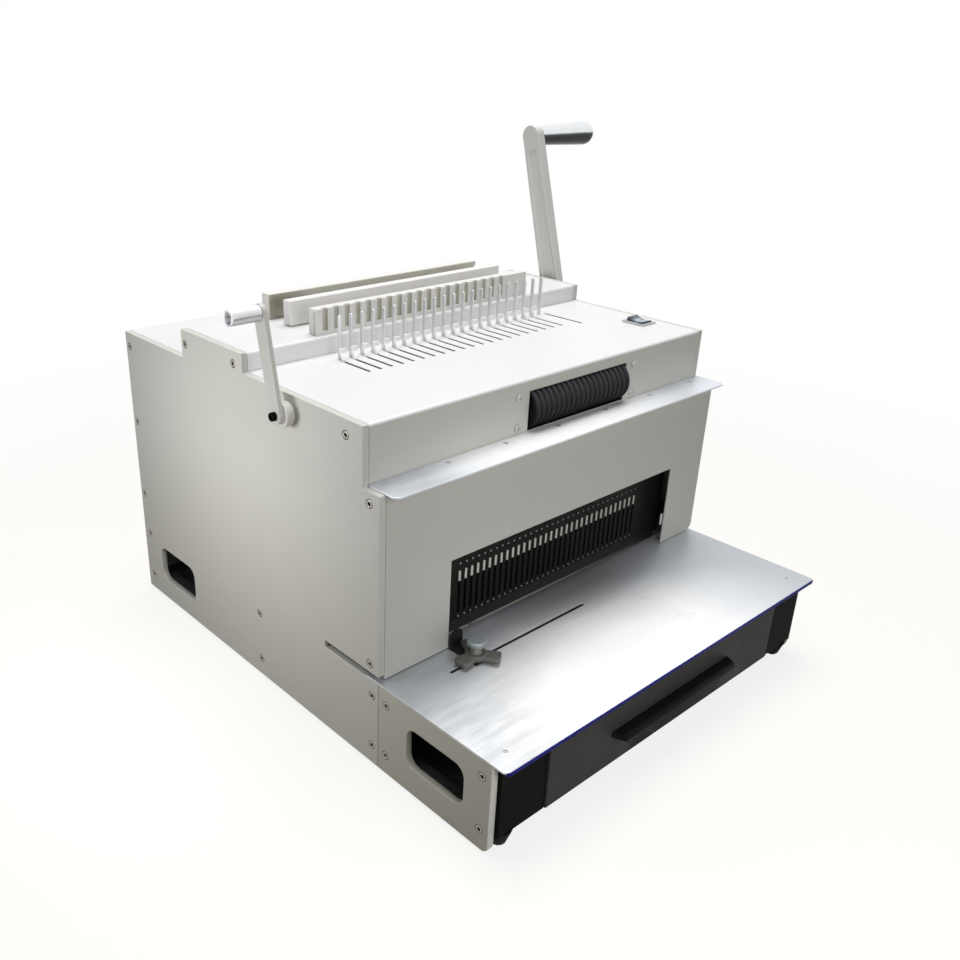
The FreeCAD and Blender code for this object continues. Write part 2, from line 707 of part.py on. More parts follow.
inlet = join([box(INLET_X0 + FIT_GAP, INLET_X1 - FIT_GAP, BACK_INNER - INLET_DEPTH, REAR_Y, INLET_Z0 + FIT_GAP,
                  INLET_Z1 - FIT_GAP),
              box(INLET_X0 - INLET_RIM, INLET_X1 + INLET_RIM, REAR_Y, REAR_Y + SHEET, INLET_Z0 - INLET_RIM,
                  INLET_Z1 + INLET_RIM)])
inlet = inlet.cut(box(INLET_X0 + INLET_RIM, INLET_X1 - INLET_RIM, REAR_Y - 14, REAR_Y + 5, INLET_Z0 + INLET_RIM,
                      INLET_Z1 - INLET_RIM))
blades = [box(x - 1, x + 1, REAR_Y - 14, REAR_Y - 1, z - 2, z + 2)
          for x, z in ((INLET_X0 + 8, INLET_Z0 + 9), ((INLET_X0 + INLET_X1) / 2, INLET_Z0 + 14),
                       (INLET_X1 - 8, INLET_Z0 + 9))]
save("mains_inlet", [join([inlet] + blades)])

CONTROL_X = -60.0
CONTROL_W = 180.0
CONTROL_D = 130.0
CONTROL_H = 70.0
CONTROL_FORE = 20.0
CONTROL_Y1 = BACK_INNER - CONTROL_FORE
CONTROL_Z0 = FOOT_H + BASE_T
save("control_box", [box(CONTROL_X - CONTROL_W / 2, CONTROL_X + CONTROL_W / 2, CONTROL_Y1 - CONTROL_D, CONTROL_Y1,
                         CONTROL_Z0, CONTROL_Z0 + CONTROL_H)])

# Decks
save("rear_deck", [box(-INNER + FIT_GAP, INNER - FIT_GAP, STEP_Y - 4, REAR_Y, REAR_Z - SHEET, REAR_Z)])

upper = slab_x([(RISER_Y, COMB_Z), (RISER_Y, UPPER_Z), (STEP_Y, UPPER_Z), (STEP_Y, REAR_Z),
                (STEP_Y - SHEET, REAR_Z), (STEP_Y - SHEET, UPPER_UNDER), (RISER_Y + SHEET, UPPER_UNDER),
                (RISER_Y + SHEET, COMB_Z)], -INNER + FIT_GAP, INNER - FIT_GAP)
upper = round_edges(upper, BEND_R, X_AXIS, lambda p: near(p.z, UPPER_Z))
PRESS_TRAVEL = RACK_MODULE * RACK_TEETH / 2 * math.radians(LEVER_TURN)
POST_Y1 = PRESS_BAR_Y + PRESS_BAR_D - 0.5
POST_Y0 = POST_Y1 - PRESS_POST_D
post_slots = [box(x - RACK_W / 2 - 0.6, x + RACK_W / 2 + 0.6, POST_Y0 - 0.6, POST_Y1 + PRESS_TRAVEL + 0.8,
                  UPPER_UNDER - 1, UPPER_Z + 1) for x in (-PRESS_RACK_X, PRESS_RACK_X)]
save("upper_deck", [cut(upper, post_slots)])

COMB_TRAVEL = RACK_MODULE * RACK_TEETH / 2 * math.radians(CRANK_TURN)
deck = slab_x([(PANEL_Y, LEDGE_Z - SHEET), (PANEL_Y, COMB_Z), (RISER_Y + SHEET, COMB_Z),
               (RISER_Y + SHEET, DECK_UNDER), (PANEL_Y + SHEET, DECK_UNDER),
               (PANEL_Y + SHEET, LEDGE_Z - SHEET)], -INNER + FIT_GAP, INNER - FIT_GAP)
deck = round_edges(deck, BEND_R, X_AXIS, lambda p: near(p.z, COMB_Z) and near(p.y, PANEL_Y))
tine_x = [TINE_X0 + COMB_PITCH * i for i in range(TINE_COUNT)]
hook_x = [TINE_X0 + HOOK_OFFSET + COMB_PITCH * i for i in range(HOOK_COUNT)]
SLOT_HALF = HOOK_T / 2 + SLOT_SIDE_GAP
SLOT_FRONT_Y = HOOK_Y - COMB_TRAVEL - SLOT_RUN_OUT
LONG_SLOT_X = tine_x[-1] + LONG_SLOT_OUT
LONG_SLOT_Y1 = TINE_Y + 0.8
tools = [box(x - SLOT_HALF, x + SLOT_HALF, SLOT_FRONT_Y, HOOK_Y + HOOK_D + 0.8, DECK_UNDER - 1, COMB_Z + 1)
         for x in hook_x]
tools += [box(x - TINE_T / 2 - 0.3, x + TINE_T / 2 + 0.3, TINE_Y - 0.3, TINE_Y + TINE_D + 0.3,
              DECK_UNDER - 1, COMB_Z + 1) for x in tine_x]
tools.append(box(LONG_SLOT_X - LONG_SLOT_W / 2, LONG_SLOT_X + LONG_SLOT_W / 2, LONG_SLOT_Y1 - LONG_SLOT_L,
                 LONG_SLOT_Y1, DECK_UNDER - 1, COMB_Z + 1))
tools.append(box(SWITCH_X0 + 1, SWITCH_X1 - 1, SWITCH_Y0 + 1, SWITCH_Y1 - 1, DECK_UNDER - 1, COMB_Z + 1))
tools.append(box(CUTOUT_X0, CUTOUT_X1, PANEL_Y - 1, PANEL_Y + SHEET + 1, CUTOUT_Z0, CUTOUT_Z1))
PANEL_SCREW_X = [CUTOUT_X0 - 15.5, CUTOUT_X1 + 12.4]
PANEL_SCREW_Z = [CUTOUT_Z0 + 6.5, CUTOUT_Z1 - 4.0]
PANEL_SCREWS = [(x, z) for x in PANEL_SCREW_X for z in PANEL_SCREW_Z]
tools += [rod_y(x, z, 2 + SCREW_GAP, PANEL_Y - 1, PANEL_Y + SHEET + 1) for x, z in PANEL_SCREWS]
save("comb_deck", [cut(deck, tools)])

# Fascia with its top flange and the throat, tray and table
FASCIA_Z0 = TABLE_TOP + FASCIA_GAP
plate = box(-INNER + FIT_GAP, HALF, FASCIA_Y, FASCIA_Y + SHEET, FASCIA_Z0, LEDGE_Z)
plate = round_edges(plate, FASCIA_CORNER_R, Y_AXIS, lambda p: near(p.x, HALF) and near(p.z, FASCIA_Z0))
flange = box(-INNER + FIT_GAP, INNER - FIT_GAP, FASCIA_Y + SHEET, PANEL_Y, LEDGE_Z - SHEET, LEDGE_Z)
fascia = join([plate, flange])
throat = box(THROAT_X0, THROAT_X1, FASCIA_Y - 1, FASCIA_Y + SHEET + 1, FASCIA_Z0 - 1, THROAT_TOP)
save("fascia", [cut(fascia, [throat] + tray_holes)])

tray = box(TRAY_X0, TRAY_X1, TRAY_FRONT_Y, PANEL_Y - FIT_GAP, LEDGE_Z, TRAY_TOP)
tray = round_edges(tray, TRAY_CORNER_R, Z_AXIS, lambda p: near(p.y, TRAY_FRONT_Y))
save("tray_shelf", [cut(tray, tray_holes)])

table = box(-TABLE_HALF, TABLE_HALF, TABLE_FRONT_Y, MATRIX_FRONT_Y - FIT_GAP, BASE_TOP, TABLE_TOP)
table = round_edges(table, TABLE_CORNER_R, Z_AXIS, lambda p: near(p.y, TABLE_FRONT_Y))
table = cut(table, [box(GUIDE_SLOT_X0, GUIDE_SLOT_X1, GUIDE_SLOT_Y - GUIDE_SLOT_W / 2,
                        GUIDE_SLOT_Y + GUIDE_SLOT_W / 2, BASE_TOP - 1, TABLE_TOP + 1)] + table_holes)
save("work_table", [table])


def table_plan(grow, z0, z1):
    plan = box(-TABLE_HALF - grow, TABLE_HALF + grow, TABLE_FRONT_Y - grow, TABLE_FRONT_Y + 20, z0, z1)
    return round_edges(plan, TABLE_CORNER_R + grow, Z_AXIS, lambda p: near(p.y, TABLE_FRONT_Y - grow))


STRIP_Z0 = BASE_TOP - EDGE_STRIP_DROP
STRIP_Z1 = TABLE_TOP - 0.2
STRIP_HALF = TABLE_HALF - TABLE_CORNER_R + EDGE_STRIP_WRAP
strip = table_plan(EDGE_STRIP_T, STRIP_Z0, STRIP_Z1).cut(table_plan(0, STRIP_Z0 - 1, STRIP_Z1 + 1))
save("table_edge_strip", [strip.common(box(-STRIP_HALF, STRIP_HALF, TABLE_FRONT_Y - 5, TABLE_FRONT_Y + TABLE_CORNER_R,
                                           STRIP_Z0, STRIP_Z1))])


def pan_screw(x, z):
    head = Part.makeCylinder(PANEL_SCREW_R, 2.2, vec(x, PANEL_Y, z), vec(0, -1, 0))
    rim = [edge for edge in head.Edges if near(edge.BoundBox.YMin, PANEL_Y - 2.2) and len(edge.Vertexes) == 1]
    head = head.makeFillet(1.4, rim)
    shank = rod_y(x, z, 2, PANEL_Y, PANEL_Y + SHEET + BRACKET_T)
    cross = [box(x - 1.8, x + 1.8, PANEL_Y - 3, PANEL_Y - 1.2, z - 0.35, z + 0.35),
             box(x - 0.35, x + 0.35, PANEL_Y - 3, PANEL_Y - 1.2, z - 1.8, z + 1.8)]
    return join([head, shank]).cut(cross)


small = [pan_screw(x, z) for x, z in PANEL_SCREWS]
small += [flush_screw(x, TRAY_SCREW_Y, TRAY_TOP) for x in tray_screw_x]
small += [flush_screw(x, TABLE_SCREW_Y, TABLE_TOP) for x in (-TABLE_SCREW_X, TABLE_SCREW_X)]
save("small_screws", small)

# Front posts and the waste drawer
posts = [box(-INNER, DRAWER_X0 - DRAWER_GAP, POST_Y, BASE_FRONT, POST_Z0, BASE_TOP - POST_TOP_GAP),
         box(DRAWER_X1 + DRAWER_GAP, INNER, POST_Y, BASE_FRONT, POST_Z0, BASE_TOP - POST_TOP_GAP)]
save("front_posts", [cut(post, table_holes) for post in posts])

save("drawer_front", [box(DRAWER_X0, DRAWER_X1, FRONT_Y, FRONT_Y + DRAWER_T, DRAWER_Z0, DRAWER_Z1)])
RUNNER_TOP = FOOT_H + BASE_T + RUNNER_T
BIN_Z0 = RUNNER_TOP + DRAWER_GAP
bin_outer = box(BIN_X0, BIN_X1, BIN_Y0, BIN_Y1, BIN_Z0, BIN_TOP)
bin_inner = box(BIN_X0 + BIN_WALL, BIN_X1 - BIN_WALL, BIN_Y0 + BIN_WALL, BIN_Y1 - BIN_WALL,
                BIN_Z0 + BIN_WALL, BIN_TOP + 1)
save("drawer_bin", [bin_outer.cut(bin_inner)])


def runner(edge, sign):
    web = edge + sign * DRAWER_GAP
    points = [(web + sign * RUNNER_T, FOOT_H + BASE_T), (web + sign * RUNNER_T, FOOT_H + RUNNER_H),
              (web, FOOT_H + RUNNER_H), (web, RUNNER_TOP), (web - sign * RUNNER_W, RUNNER_TOP),
              (web - sign * RUNNER_W, FOOT_H + BASE_T)]
    return slab_y(points, BASE_FRONT + 1, BIN_Y1 + 8)


save("base_rails", rails + [runner(BIN_X0, -1), runner(BIN_X1, 1)])


def pull_plan(inset, y0):
    half = HANDLE_HALF - inset
    front = FRONT_Y - HANDLE_OUT + inset
    return [(HANDLE_X - half, y0), (HANDLE_X - half + HANDLE_SLANT, front), (HANDLE_X + half - HANDLE_SLANT, front),
            (HANDLE_X + half, y0)]


# Pull: a thin ledge with slanted ends, and a skirt that hangs lower in the middle for the fingers.
HANDLE_Z1 = DRAWER_Z0 + HANDLE_LIFT
ledge_z = HANDLE_Z1 - HANDLE_H
belly_z = HANDLE_Z1 - HANDLE_BELLY_H
front = [(-HANDLE_HALF, HANDLE_Z1), (-HANDLE_HALF, ledge_z), (-HANDLE_NECK_HALF, ledge_z),
         (-HANDLE_BELLY_HALF, belly_z), (HANDLE_BELLY_HALF, belly_z), (HANDLE_NECK_HALF, ledge_z),
         (HANDLE_HALF, ledge_z), (HANDLE_HALF, HANDLE_Z1)]
skirt = slab_y([(HANDLE_X + x, z) for x, z in front], FRONT_Y - HANDLE_OUT, FRONT_Y)
skirt = round_edges(skirt, 9.0, Y_AXIS, lambda p: abs(p.x - HANDLE_X) < HANDLE_NECK_HALF + 1)
pull = slab_z(pull_plan(0, FRONT_Y), belly_z - 1, HANDLE_Z1).common(skirt)
pull = round_edges(pull, HANDLE_EDGE_R, X_AXIS, lambda p: near(p.z, HANDLE_Z1) and near(p.y, FRONT_Y - HANDLE_OUT))
pull = pull.cut(slab_z(pull_plan(HANDLE_WALL, FRONT_Y + 1), belly_z - 1, HANDLE_Z1 - HANDLE_WALL))
save("drawer_handle", [pull])

# Die set
pin_x = [DIE_X + PIN_PITCH * (i - (PIN_COUNT - 1) / 2) for i in range(PIN_COUNT)]
matrix = box(-INNER + UPPER_RAIL_W, INNER - UPPER_RAIL_W, MATRIX_FRONT_Y, DIE_REAR_Y, TABLE_TOP - MATRIX_T, TABLE_TOP)
matrix = cut(matrix, [rod_z(x, PIN_Y, PIN_R + PIN_GAP, TABLE_TOP - MATRIX_T - 1, TABLE_TOP + 1) for x in pin_x])
save("die_matrix", [matrix])

PLATE_BACK = DIE_FACE_Y + DIE_PLATE_T
GUIDE_HALF = DIE_HALF - 30.0
ROD_X = GUIDE_HALF - 6.0
beam = box(-DIE_HALF, DIE_HALF, PLATE_BACK, DIE_REAR_Y, SLIT_TOP, BEAM_TOP)
beam = cut(beam, [rod_z(x, PIN_Y, PIN_R + PIN_GAP, SLIT_TOP - 1, BEAM_TOP + 1) for x in pin_x])
save("punch_beam", [beam])

front_plate = box(-DIE_HALF, DIE_HALF, DIE_FACE_Y, PLATE_BACK, SLIT_TOP, DIE_PLATE_TOP)
tools = [box(x - PIN_SLOT_W / 2, x + PIN_SLOT_W / 2, DIE_FACE_Y - 1, PLATE_BACK + 1, PIN_SLOT_Z0, PIN_SLOT_Z1)
         for x in pin_x]
save("die_front_plate", [cut(front_plate, tools)])

LOW_STUD_Z = PIN_SLOT_Z0 - 3.5
HIGH_STUD_Z = PIN_SLOT_Z1 + 7.5
studs = [rod_y(x, z, STUD_R, DIE_FACE_Y - STUD_OUT, DIE_FACE_Y) for x in pin_x for z in (LOW_STUD_Z, HIGH_STUD_Z)]
save("die_studs", studs)

lip = slab_x([(DIE_FACE_Y, SLIT_TOP), (DIE_FACE_Y, SLIT_TOP + LIP_H), (DIE_FACE_Y - LIP_DEPTH, SLIT_TOP + LIP_EDGE),
              (DIE_FACE_Y - LIP_DEPTH, SLIT_TOP)], THROAT_X0 + 1, THROAT_X1 - 1)
save("sheet_lip", [lip])

END_BLOCK_TOP = SLIT_TOP + 20
end_block = box(DIE_HALF, INNER, DIE_FACE_Y - 14, DIE_REAR_Y, SLIT_TOP, END_BLOCK_TOP)
end_block = cut(end_block, side_holes([DIE_SCREW]))
CAM_PLATE_X = DIE_HALF - 5.0 - CAM_PLATE_T
PINION_Y = CAM_Y + GEAR_MODULE * (GEAR_TEETH + PINION_TEETH) / 2 + 0.1
cam_plate = slab_x([(PLATE_BACK, BEAM_TOP), (PLATE_BACK, CAM_PLATE_TOP), (CAM_PLATE_REAR, CAM_PLATE_TOP),
                    (CAM_PLATE_REAR, CAM_Z - MOTOR_R - 6), (DIE_REAR_Y, BEAM_TOP)],
                   CAM_PLATE_X, CAM_PLATE_X + CAM_PLATE_T)
cam_plate = cam_plate.cut(rod_x(CAM_Y, CAM_Z, CAM_SHAFT_R + RUN_GAP, CAM_PLATE_X - 1, CAM_PLATE_X + CAM_PLATE_T + 1))
right_cam_plate = cam_plate.cut(rod_x(PINION_Y, CAM_Z, 6.0, CAM_PLATE_X - 1, CAM_PLATE_X + CAM_PLATE_T + 1))
rods = [rod_z(x, CAM_Y, ROD_R, BEAM_TOP, PUNCH_BAR_Z0 + PUNCH_BAR_H + 8) for x in (-ROD_X, ROD_X)]
save("punch_frame", [end_block, mirrored(end_block), mirrored(cam_plate), right_cam_plate] + rods)

# Punch bar with its followers, and the pins
BAR_TOP = PUNCH_BAR_Z0 + PUNCH_BAR_H
bar = box(-GUIDE_HALF, GUIDE_HALF, PLATE_BACK + 0.5, DIE_REAR_Y, PUNCH_BAR_Z0, BAR_TOP)
bar = cut(bar, [rod_z(x, CAM_Y, ROD_R + RUN_GAP, PUNCH_BAR_Z0 - 1, BAR_TOP + 1) for x in (-ROD_X, ROD_X)])
FOLLOW_Z = CAM_Z - CAM_FOLLOW_D
followers = []
for x in (-CAM_X, CAM_X):
    followers.append(rod_x(CAM_Y, FOLLOW_Z, CAM_FOLLOW_R, x - CAM_W / 2, x + CAM_W / 2))
    followers.append(box(x - CAM_W / 2, x + CAM_W / 2, CAM_Y - CAM_FOLLOW_R, CAM_Y + CAM_FOLLOW_R,
                         BAR_TOP - 1, FOLLOW_Z))
save("punch_bar", [join([bar] + followers)])
PIN_TIP = SLIT_TOP + 1.0


def punch_pin(x):
    flag = box(x - FLAG_W / 2, x + FLAG_W / 2, DIE_FACE_Y - FLAG_PROUD, PIN_Y, FLAG_Z - FLAG_H / 2,
               FLAG_Z + FLAG_H / 2)
    return join([rod_z(x, PIN_Y, PIN_R, PIN_TIP, PUNCH_BAR_Z0), flag])


save("punch_pins", [punch_pin(x) for x in pin_x])


def cam(x0, x1):
    # Constant-rise cam: the follower's centre moves out by the same amount for each degree.
    rise = PUNCH_STROKE / math.radians(CAM_TURN)
    offset = CAM_FOLLOW_R + CAM_GAP
    points = []
    steps = 40
    lead = 8.0
    for i in range(steps + 1):
        turn = -lead + (CAM_TURN + 2 * lead) * i / steps
        a = math.radians(turn)
        r = CAM_FOLLOW_D + rise * a
        # Normal of the follower's path, in the cam's own frame.
        slope = math.atan2(rise, r)
        angle = -math.pi / 2 - a
        py = r * math.cos(angle)
        pz = r * math.sin(angle)
        ny = math.cos(angle + slope)
        nz = math.sin(angle + slope)
        points.append((CAM_Y + py - offset * ny, CAM_Z + pz - offset * nz))
    return slab_x(points, x0, x1)


GEAR_X0 = CAM_PLATE_X + CAM_PLATE_T + 4.0
shaft = rod_x(CAM_Y, CAM_Z, CAM_SHAFT_R, -CAM_PLATE_X - CAM_PLATE_T - 3, GEAR_X0 + GEAR_W)
cams = [cam(x - CAM_W / 2, x + CAM_W / 2) for x in (-CAM_X, CAM_X)]
big_gear = gear_x(CAM_Y, CAM_Z, GEAR_MODULE, GEAR_TEETH, 0.0, GEAR_X0, GEAR_X0 + GEAR_W)
save("cam_shaft", [join([shaft, big_gear] + cams)])
pinion = gear_x(PINION_Y, CAM_Z, GEAR_MODULE, PINION_TEETH, math.pi / PINION_TEETH, GEAR_X0, GEAR_X0 + GEAR_W)
MOTOR_X1 = CAM_PLATE_X
pinion = join([pinion, rod_x(PINION_Y, CAM_Z, 5.0, MOTOR_X1 + RUN_GAP, GEAR_X0 + 1)])
save("punch_pinion", [pinion])

# Coil roller, its brackets and its drive
ROLLER_Y = PANEL_Y - ROLLER_PROUD + ROLLER_R
COIL_PINION_Y = ROLLER_Y + COIL_MODULE * (COIL_TEETH + COIL_PINION_TEETH) / 2 + 0.1
PANEL_BACK = PANEL_Y + SHEET


def roller_bracket(face, sign):
    arm = box(min(face, face + sign * BRACKET_T), max(face, face + sign * BRACKET_T), PANEL_BACK, ROLLER_Y + 14,
              CUTOUT_Z0 + 2, CUTOUT_Z1)
    lug = box(min(face, face + sign * BRACKET_FLANGE), max(face, face + sign * BRACKET_FLANGE), PANEL_BACK,
              PANEL_BACK + BRACKET_T - 1, CUTOUT_Z0 + 2, CUTOUT_Z1)
    tools = [rod_x(ROLLER_Y, ROLLER_Z, ROLLER_SHAFT_R + RUN_GAP, face - 20, face + 20)]
    tools += [rod_y(x, z, 2 + SCREW_GAP, PANEL_BACK - 1, PANEL_BACK + BRACKET_T) for x, z in PANEL_SCREWS]
    return join([arm, lug]).cut(tools)


LEFT_ARM = CUTOUT_X0 - 6.0
RIGHT_ARM = CUTOUT_X1 + 2.0
COIL_GEAR_X0 = RIGHT_ARM + BRACKET_FLANGE + 1.0
COIL_GEAR_X1 = COIL_GEAR_X0 + 6.0
MOTOR_PLATE_X = COIL_GEAR_X1 + 3.0
motor_plate = box(MOTOR_PLATE_X, MOTOR_PLATE_X + SHEET, ROLLER_Y + 4, COIL_PINION_Y + COIL_MOTOR_R + 3,
                  ROLLER_Z - COIL_MOTOR_R, DECK_UNDER)
motor_plate = motor_plate.cut(rod_x(COIL_PINION_Y, ROLLER_Z, 3.5, MOTOR_PLATE_X - 1, MOTOR_PLATE_X + SHEET + 1))
save("roller_brackets", [roller_bracket(LEFT_ARM, -1), roller_bracket(RIGHT_ARM, 1), motor_plate])

rib_pitch = (ROLLER_X1 - ROLLER_X0) / ROLLER_RIBS
profile = [(ROLLER_X0, ROLLER_SHAFT_R)]
for i in range(ROLLER_RIBS):
    x = ROLLER_X0 + i * rib_pitch
    for share, drop in ((0.08, 1), (0.22, 0.15), (0.36, 0), (0.64, 0), (0.78, 0.15), (0.92, 1)):
        profile.append((x + share * rib_pitch, ROLLER_R - drop * ROLLER_GROOVE))
profile = [profile[0], (ROLLER_X0, ROLLER_R - ROLLER_GROOVE)] + profile[1:]
profile += [(ROLLER_X1, ROLLER_R - ROLLER_GROOVE), (ROLLER_X1, ROLLER_SHAFT_R)]
outline = [vec(x, ROLLER_Y, ROLLER_Z + r) for x, r in profile]
sleeve = face_of(outline).revolve(vec(0, ROLLER_Y, ROLLER_Z), X_AXIS, 360)
save("coil_roller", [sleeve])
coil_gear = gear_x(ROLLER_Y, ROLLER_Z, COIL_MODULE, COIL_TEETH, 0.0, COIL_GEAR_X0, COIL_GEAR_X1)
coil_shaft = rod_x(ROLLER_Y, ROLLER_Z, ROLLER_SHAFT_R, LEFT_ARM - BRACKET_T - 1, COIL_GEAR_X1)
save("roller_shaft", [join([coil_shaft, coil_gear])])
coil_pinion = gear_x(COIL_PINION_Y, ROLLER_Z, COIL_MODULE, COIL_PINION_TEETH, math.pi / COIL_PINION_TEETH
                     + (0 if COIL_PINION_TEETH % 2 == 0 else math.pi / COIL_PINION_TEETH),
                     COIL_GEAR_X0, COIL_GEAR_X1)
coil_pinion = join([coil_pinion, rod_x(COIL_PINION_Y, ROLLER_Z, 3.0, COIL_GEAR_X0, MOTOR_PLATE_X + SHEET - RUN_GAP)])
save("coil_pinion", [coil_pinion])

motors = [rod_x(PINION_Y, CAM_Z, MOTOR_R, CAM_X + CAM_W / 2 + MOTOR_CAM_GAP, MOTOR_X1),
          rod_x(COIL_PINION_Y, ROLLER_Z, COIL_MOTOR_R, MOTOR_PLATE_X + SHEET, MOTOR_PLATE_X + SHEET + COIL_MOTOR_L)]
save("drive_motors", motors)

# Comb opener: tines on their bar, hooks on a racked carriage, crank
save("comb_tines", [round_edges(box(x - TINE_T / 2, x + TINE_T / 2, TINE_Y, TINE_Y + TINE_D, DECK_UNDER, TINE_TOP),
                                TINE_D * 0.45, X_AXIS, lambda p: near(p.z, TINE_TOP)) for x in tine_x])

BAR_Z1 = DECK_UNDER - 3.0
BAR_Z0 = BAR_Z1 - CARRIAGE_H
BAR_Y1 = HOOK_Y + HOOK_D + 1.5
BAR_Y0 = BAR_Y1 - CARRIAGE_D
CAR_END = 17.0
CAR_X0 = hook_x[0] - CAR_END
CAR_X1 = hook_x[-1] + CAR_END


def hook(x):
    stem = slab_x([(HOOK_Y, BAR_Z1), (HOOK_Y + HOOK_D, BAR_Z1), (HOOK_Y + HOOK_D, COMB_Z + 0.5),
                   (HOOK_Y + HOOK_D + HOOK_LEAN - 0.6, COMB_Z + HOOK_NECK),
                   (HOOK_Y + HOOK_D + HOOK_LEAN - 0.6, COMB_Z + HOOK_NECK + 1.5),
                   (HOOK_Y + HOOK_LEAN, COMB_Z + HOOK_NECK + 1.5),
                   (HOOK_Y, COMB_Z + 1.2)], x - HOOK_T / 2, x + HOOK_T / 2)
    tongue = box(x - HOOK_T / 2, x - HOOK_T / 2 + HOOK_TONGUE_W, HOOK_Y + HOOK_LEAN,
                 HOOK_Y + HOOK_D + HOOK_LEAN - 0.6, COMB_Z + HOOK_NECK, COMB_Z + HOOK_NECK + HOOK_TONGUE_H)
    tongue = round_edges(tongue, 2.0, Y_AXIS, lambda p: p.x > x + HOOK_T)
    return join([stem, tongue])


save("comb_hooks", [hook(x) for x in hook_x])

PINION_R = RACK_MODULE * RACK_TEETH / 2
RACK_PITCH_Z = CRANK_Z + PINION_R + 0.1
rack_x = [hook_x[3] + COMB_PITCH / 2, hook_x[17] + COMB_PITCH / 2]
RACK_REACH = 10.0
rack_y0 = CRANK_Y - RACK_REACH
rack_y1 = BAR_Y1
pieces = [box(CAR_X0, CAR_X1, BAR_Y0, BAR_Y1, BAR_Z0, BAR_Z1)]
for x in rack_x:
    pieces.append(box(x - RACK_W / 2, x + RACK_W / 2, rack_y0, rack_y1, RACK_PITCH_Z + 1.2 * RACK_MODULE,
                      DECK_UNDER - CARRIAGE_GAP))
    for points in rack_teeth(rack_y0, BAR_Y0 - 0.5, RACK_PITCH_Z, -1, RACK_MODULE, CRANK_Y):
        pieces.append(slab_x(points, x - RACK_W / 2, x + RACK_W / 2))
save("hook_carriage", [join(pieces)])


def carriage_guide(end, sign):
    x0 = min(end - sign * 8.0, end + sign * 6.0)
    x1 = max(end - sign * 8.0, end + sign * 6.0)
    block = box(x0, x1, BAR_Y0 - COMB_TRAVEL - 2, BAR_Y1 + 0.5, BAR_Z0 - 1.0, DECK_UNDER)
    g0 = min(end - sign * 9.0, end + sign * DRAWER_GAP)
    g1 = max(end - sign * 9.0, end + sign * DRAWER_GAP)
    groove = box(g0, g1, BAR_Y0 - COMB_TRAVEL - 1, BAR_Y1 + 1, BAR_Z0 - DRAWER_GAP, BAR_Z1 + DRAWER_GAP)
    return block.cut(groove)


HANGER_T = 10.0
HANGER_GAP = 9.0
HANGER_WALL = 3.0


def hanger(x0, y, z, r, top):
    block = box(x0, x0 + HANGER_T, y - r - HANGER_WALL, y + r + HANGER_WALL, z - r - HANGER_WALL, top)
    return block.cut(rod_x(y, z, r + RUN_GAP, x0 - 1, x0 + HANGER_T + 1))


TINE_BAR_Y0 = TINE_Y - 1.7
supports = [box(tine_x[0] - 12, tine_x[-1] + 12, TINE_BAR_Y0, TINE_Y + TINE_D + 2, DECK_UNDER - TINE_BAR_H,
                DECK_UNDER),
            carriage_guide(CAR_X0, -1), carriage_guide(CAR_X1, 1),
            hanger(rack_x[0] - RACK_W / 2 - HANGER_GAP - HANGER_T, CRANK_Y, CRANK_Z, CRANK_SHAFT_R, DECK_UNDER),
            hanger(rack_x[1] + RACK_W / 2 + HANGER_GAP, CRANK_Y, CRANK_Z, CRANK_SHAFT_R, DECK_UNDER)]
save("comb_supports", supports)

HUB_OUT = -HALF - OUT_GAP - CRANK_HUB_L
crank_lean = math.radians(CRANK_LEAN)
grip_y = CRANK_Y + CRANK_LENGTH * math.sin(crank_lean)
grip_z = CRANK_Z + CRANK_LENGTH * math.cos(crank_lean)


def arm_bar(y0, z0, y1, z1, width0, width1, x0, x1):
    run = math.hypot(y1 - y0, z1 - z0)
    ny = (z1 - z0) / run / 2
    nz = -(y1 - y0) / run / 2
    strip = slab_x([(y0 + ny * width0, z0 + nz * width0), (y1 + ny * width1, z1 + nz * width1),
                    (y1 - ny * width1, z1 - nz * width1), (y0 - ny * width0, z0 - nz * width0)], x0, x1)
    return join([strip, rod_x(y0, z0, width0 / 2, x0, x1), rod_x(y1, z1, width1 / 2, x0, x1)])


SHAFT_OUT = HUB_OUT + 2.0
arm = arm_bar(CRANK_Y, CRANK_Z, grip_y, grip_z, CRANK_W, CRANK_W, HUB_OUT - CRANK_T, HUB_OUT)
hub = Part.makeCone(CRANK_HUB_R, CRANK_HUB_FOOT_R, CRANK_HUB_L, vec(HUB_OUT, CRANK_Y, CRANK_Z), X_AXIS)
arm = join([arm, hub])
save("crank_arm", [arm.cut(rod_x(CRANK_Y, CRANK_Z, CRANK_SHAFT_R + 0.02, SHAFT_OUT, 0))])
grip = rod_x(grip_y, grip_z, CRANK_GRIP_R, HUB_OUT - CRANK_T - CRANK_GRIP_L, HUB_OUT - CRANK_T)
save("crank_grip", [grip.cut(rod_x(grip_y, grip_z, CRANK_GRIP_BORE, HUB_OUT - CRANK_T - CRANK_GRIP_L - 1,
                                   HUB_OUT - CRANK_T - 3))])
CRANK_FACE = HUB_OUT - CRANK_T
screw_cap = rod_x(CRANK_Y, CRANK_Z, CRANK_SCREW_R, CRANK_FACE - CRANK_SCREW_L, CRANK_FACE)
save("crank_screw", [screw_cap.cut(rod_x(CRANK_Y, CRANK_Z, CRANK_SCREW_R / 2, CRANK_FACE - CRANK_SCREW_L - 1,
                                         CRANK_FACE - CRANK_SCREW_L / 2))])
pinions = [gear_x(CRANK_Y, CRANK_Z, RACK_MODULE, RACK_TEETH, math.pi / 2, x - RACK_W / 2, x + RACK_W / 2)
           for x in rack_x]
CRANK_SHAFT_X1 = rack_x[1] + RACK_W / 2 + HANGER_GAP + HANGER_T + 2
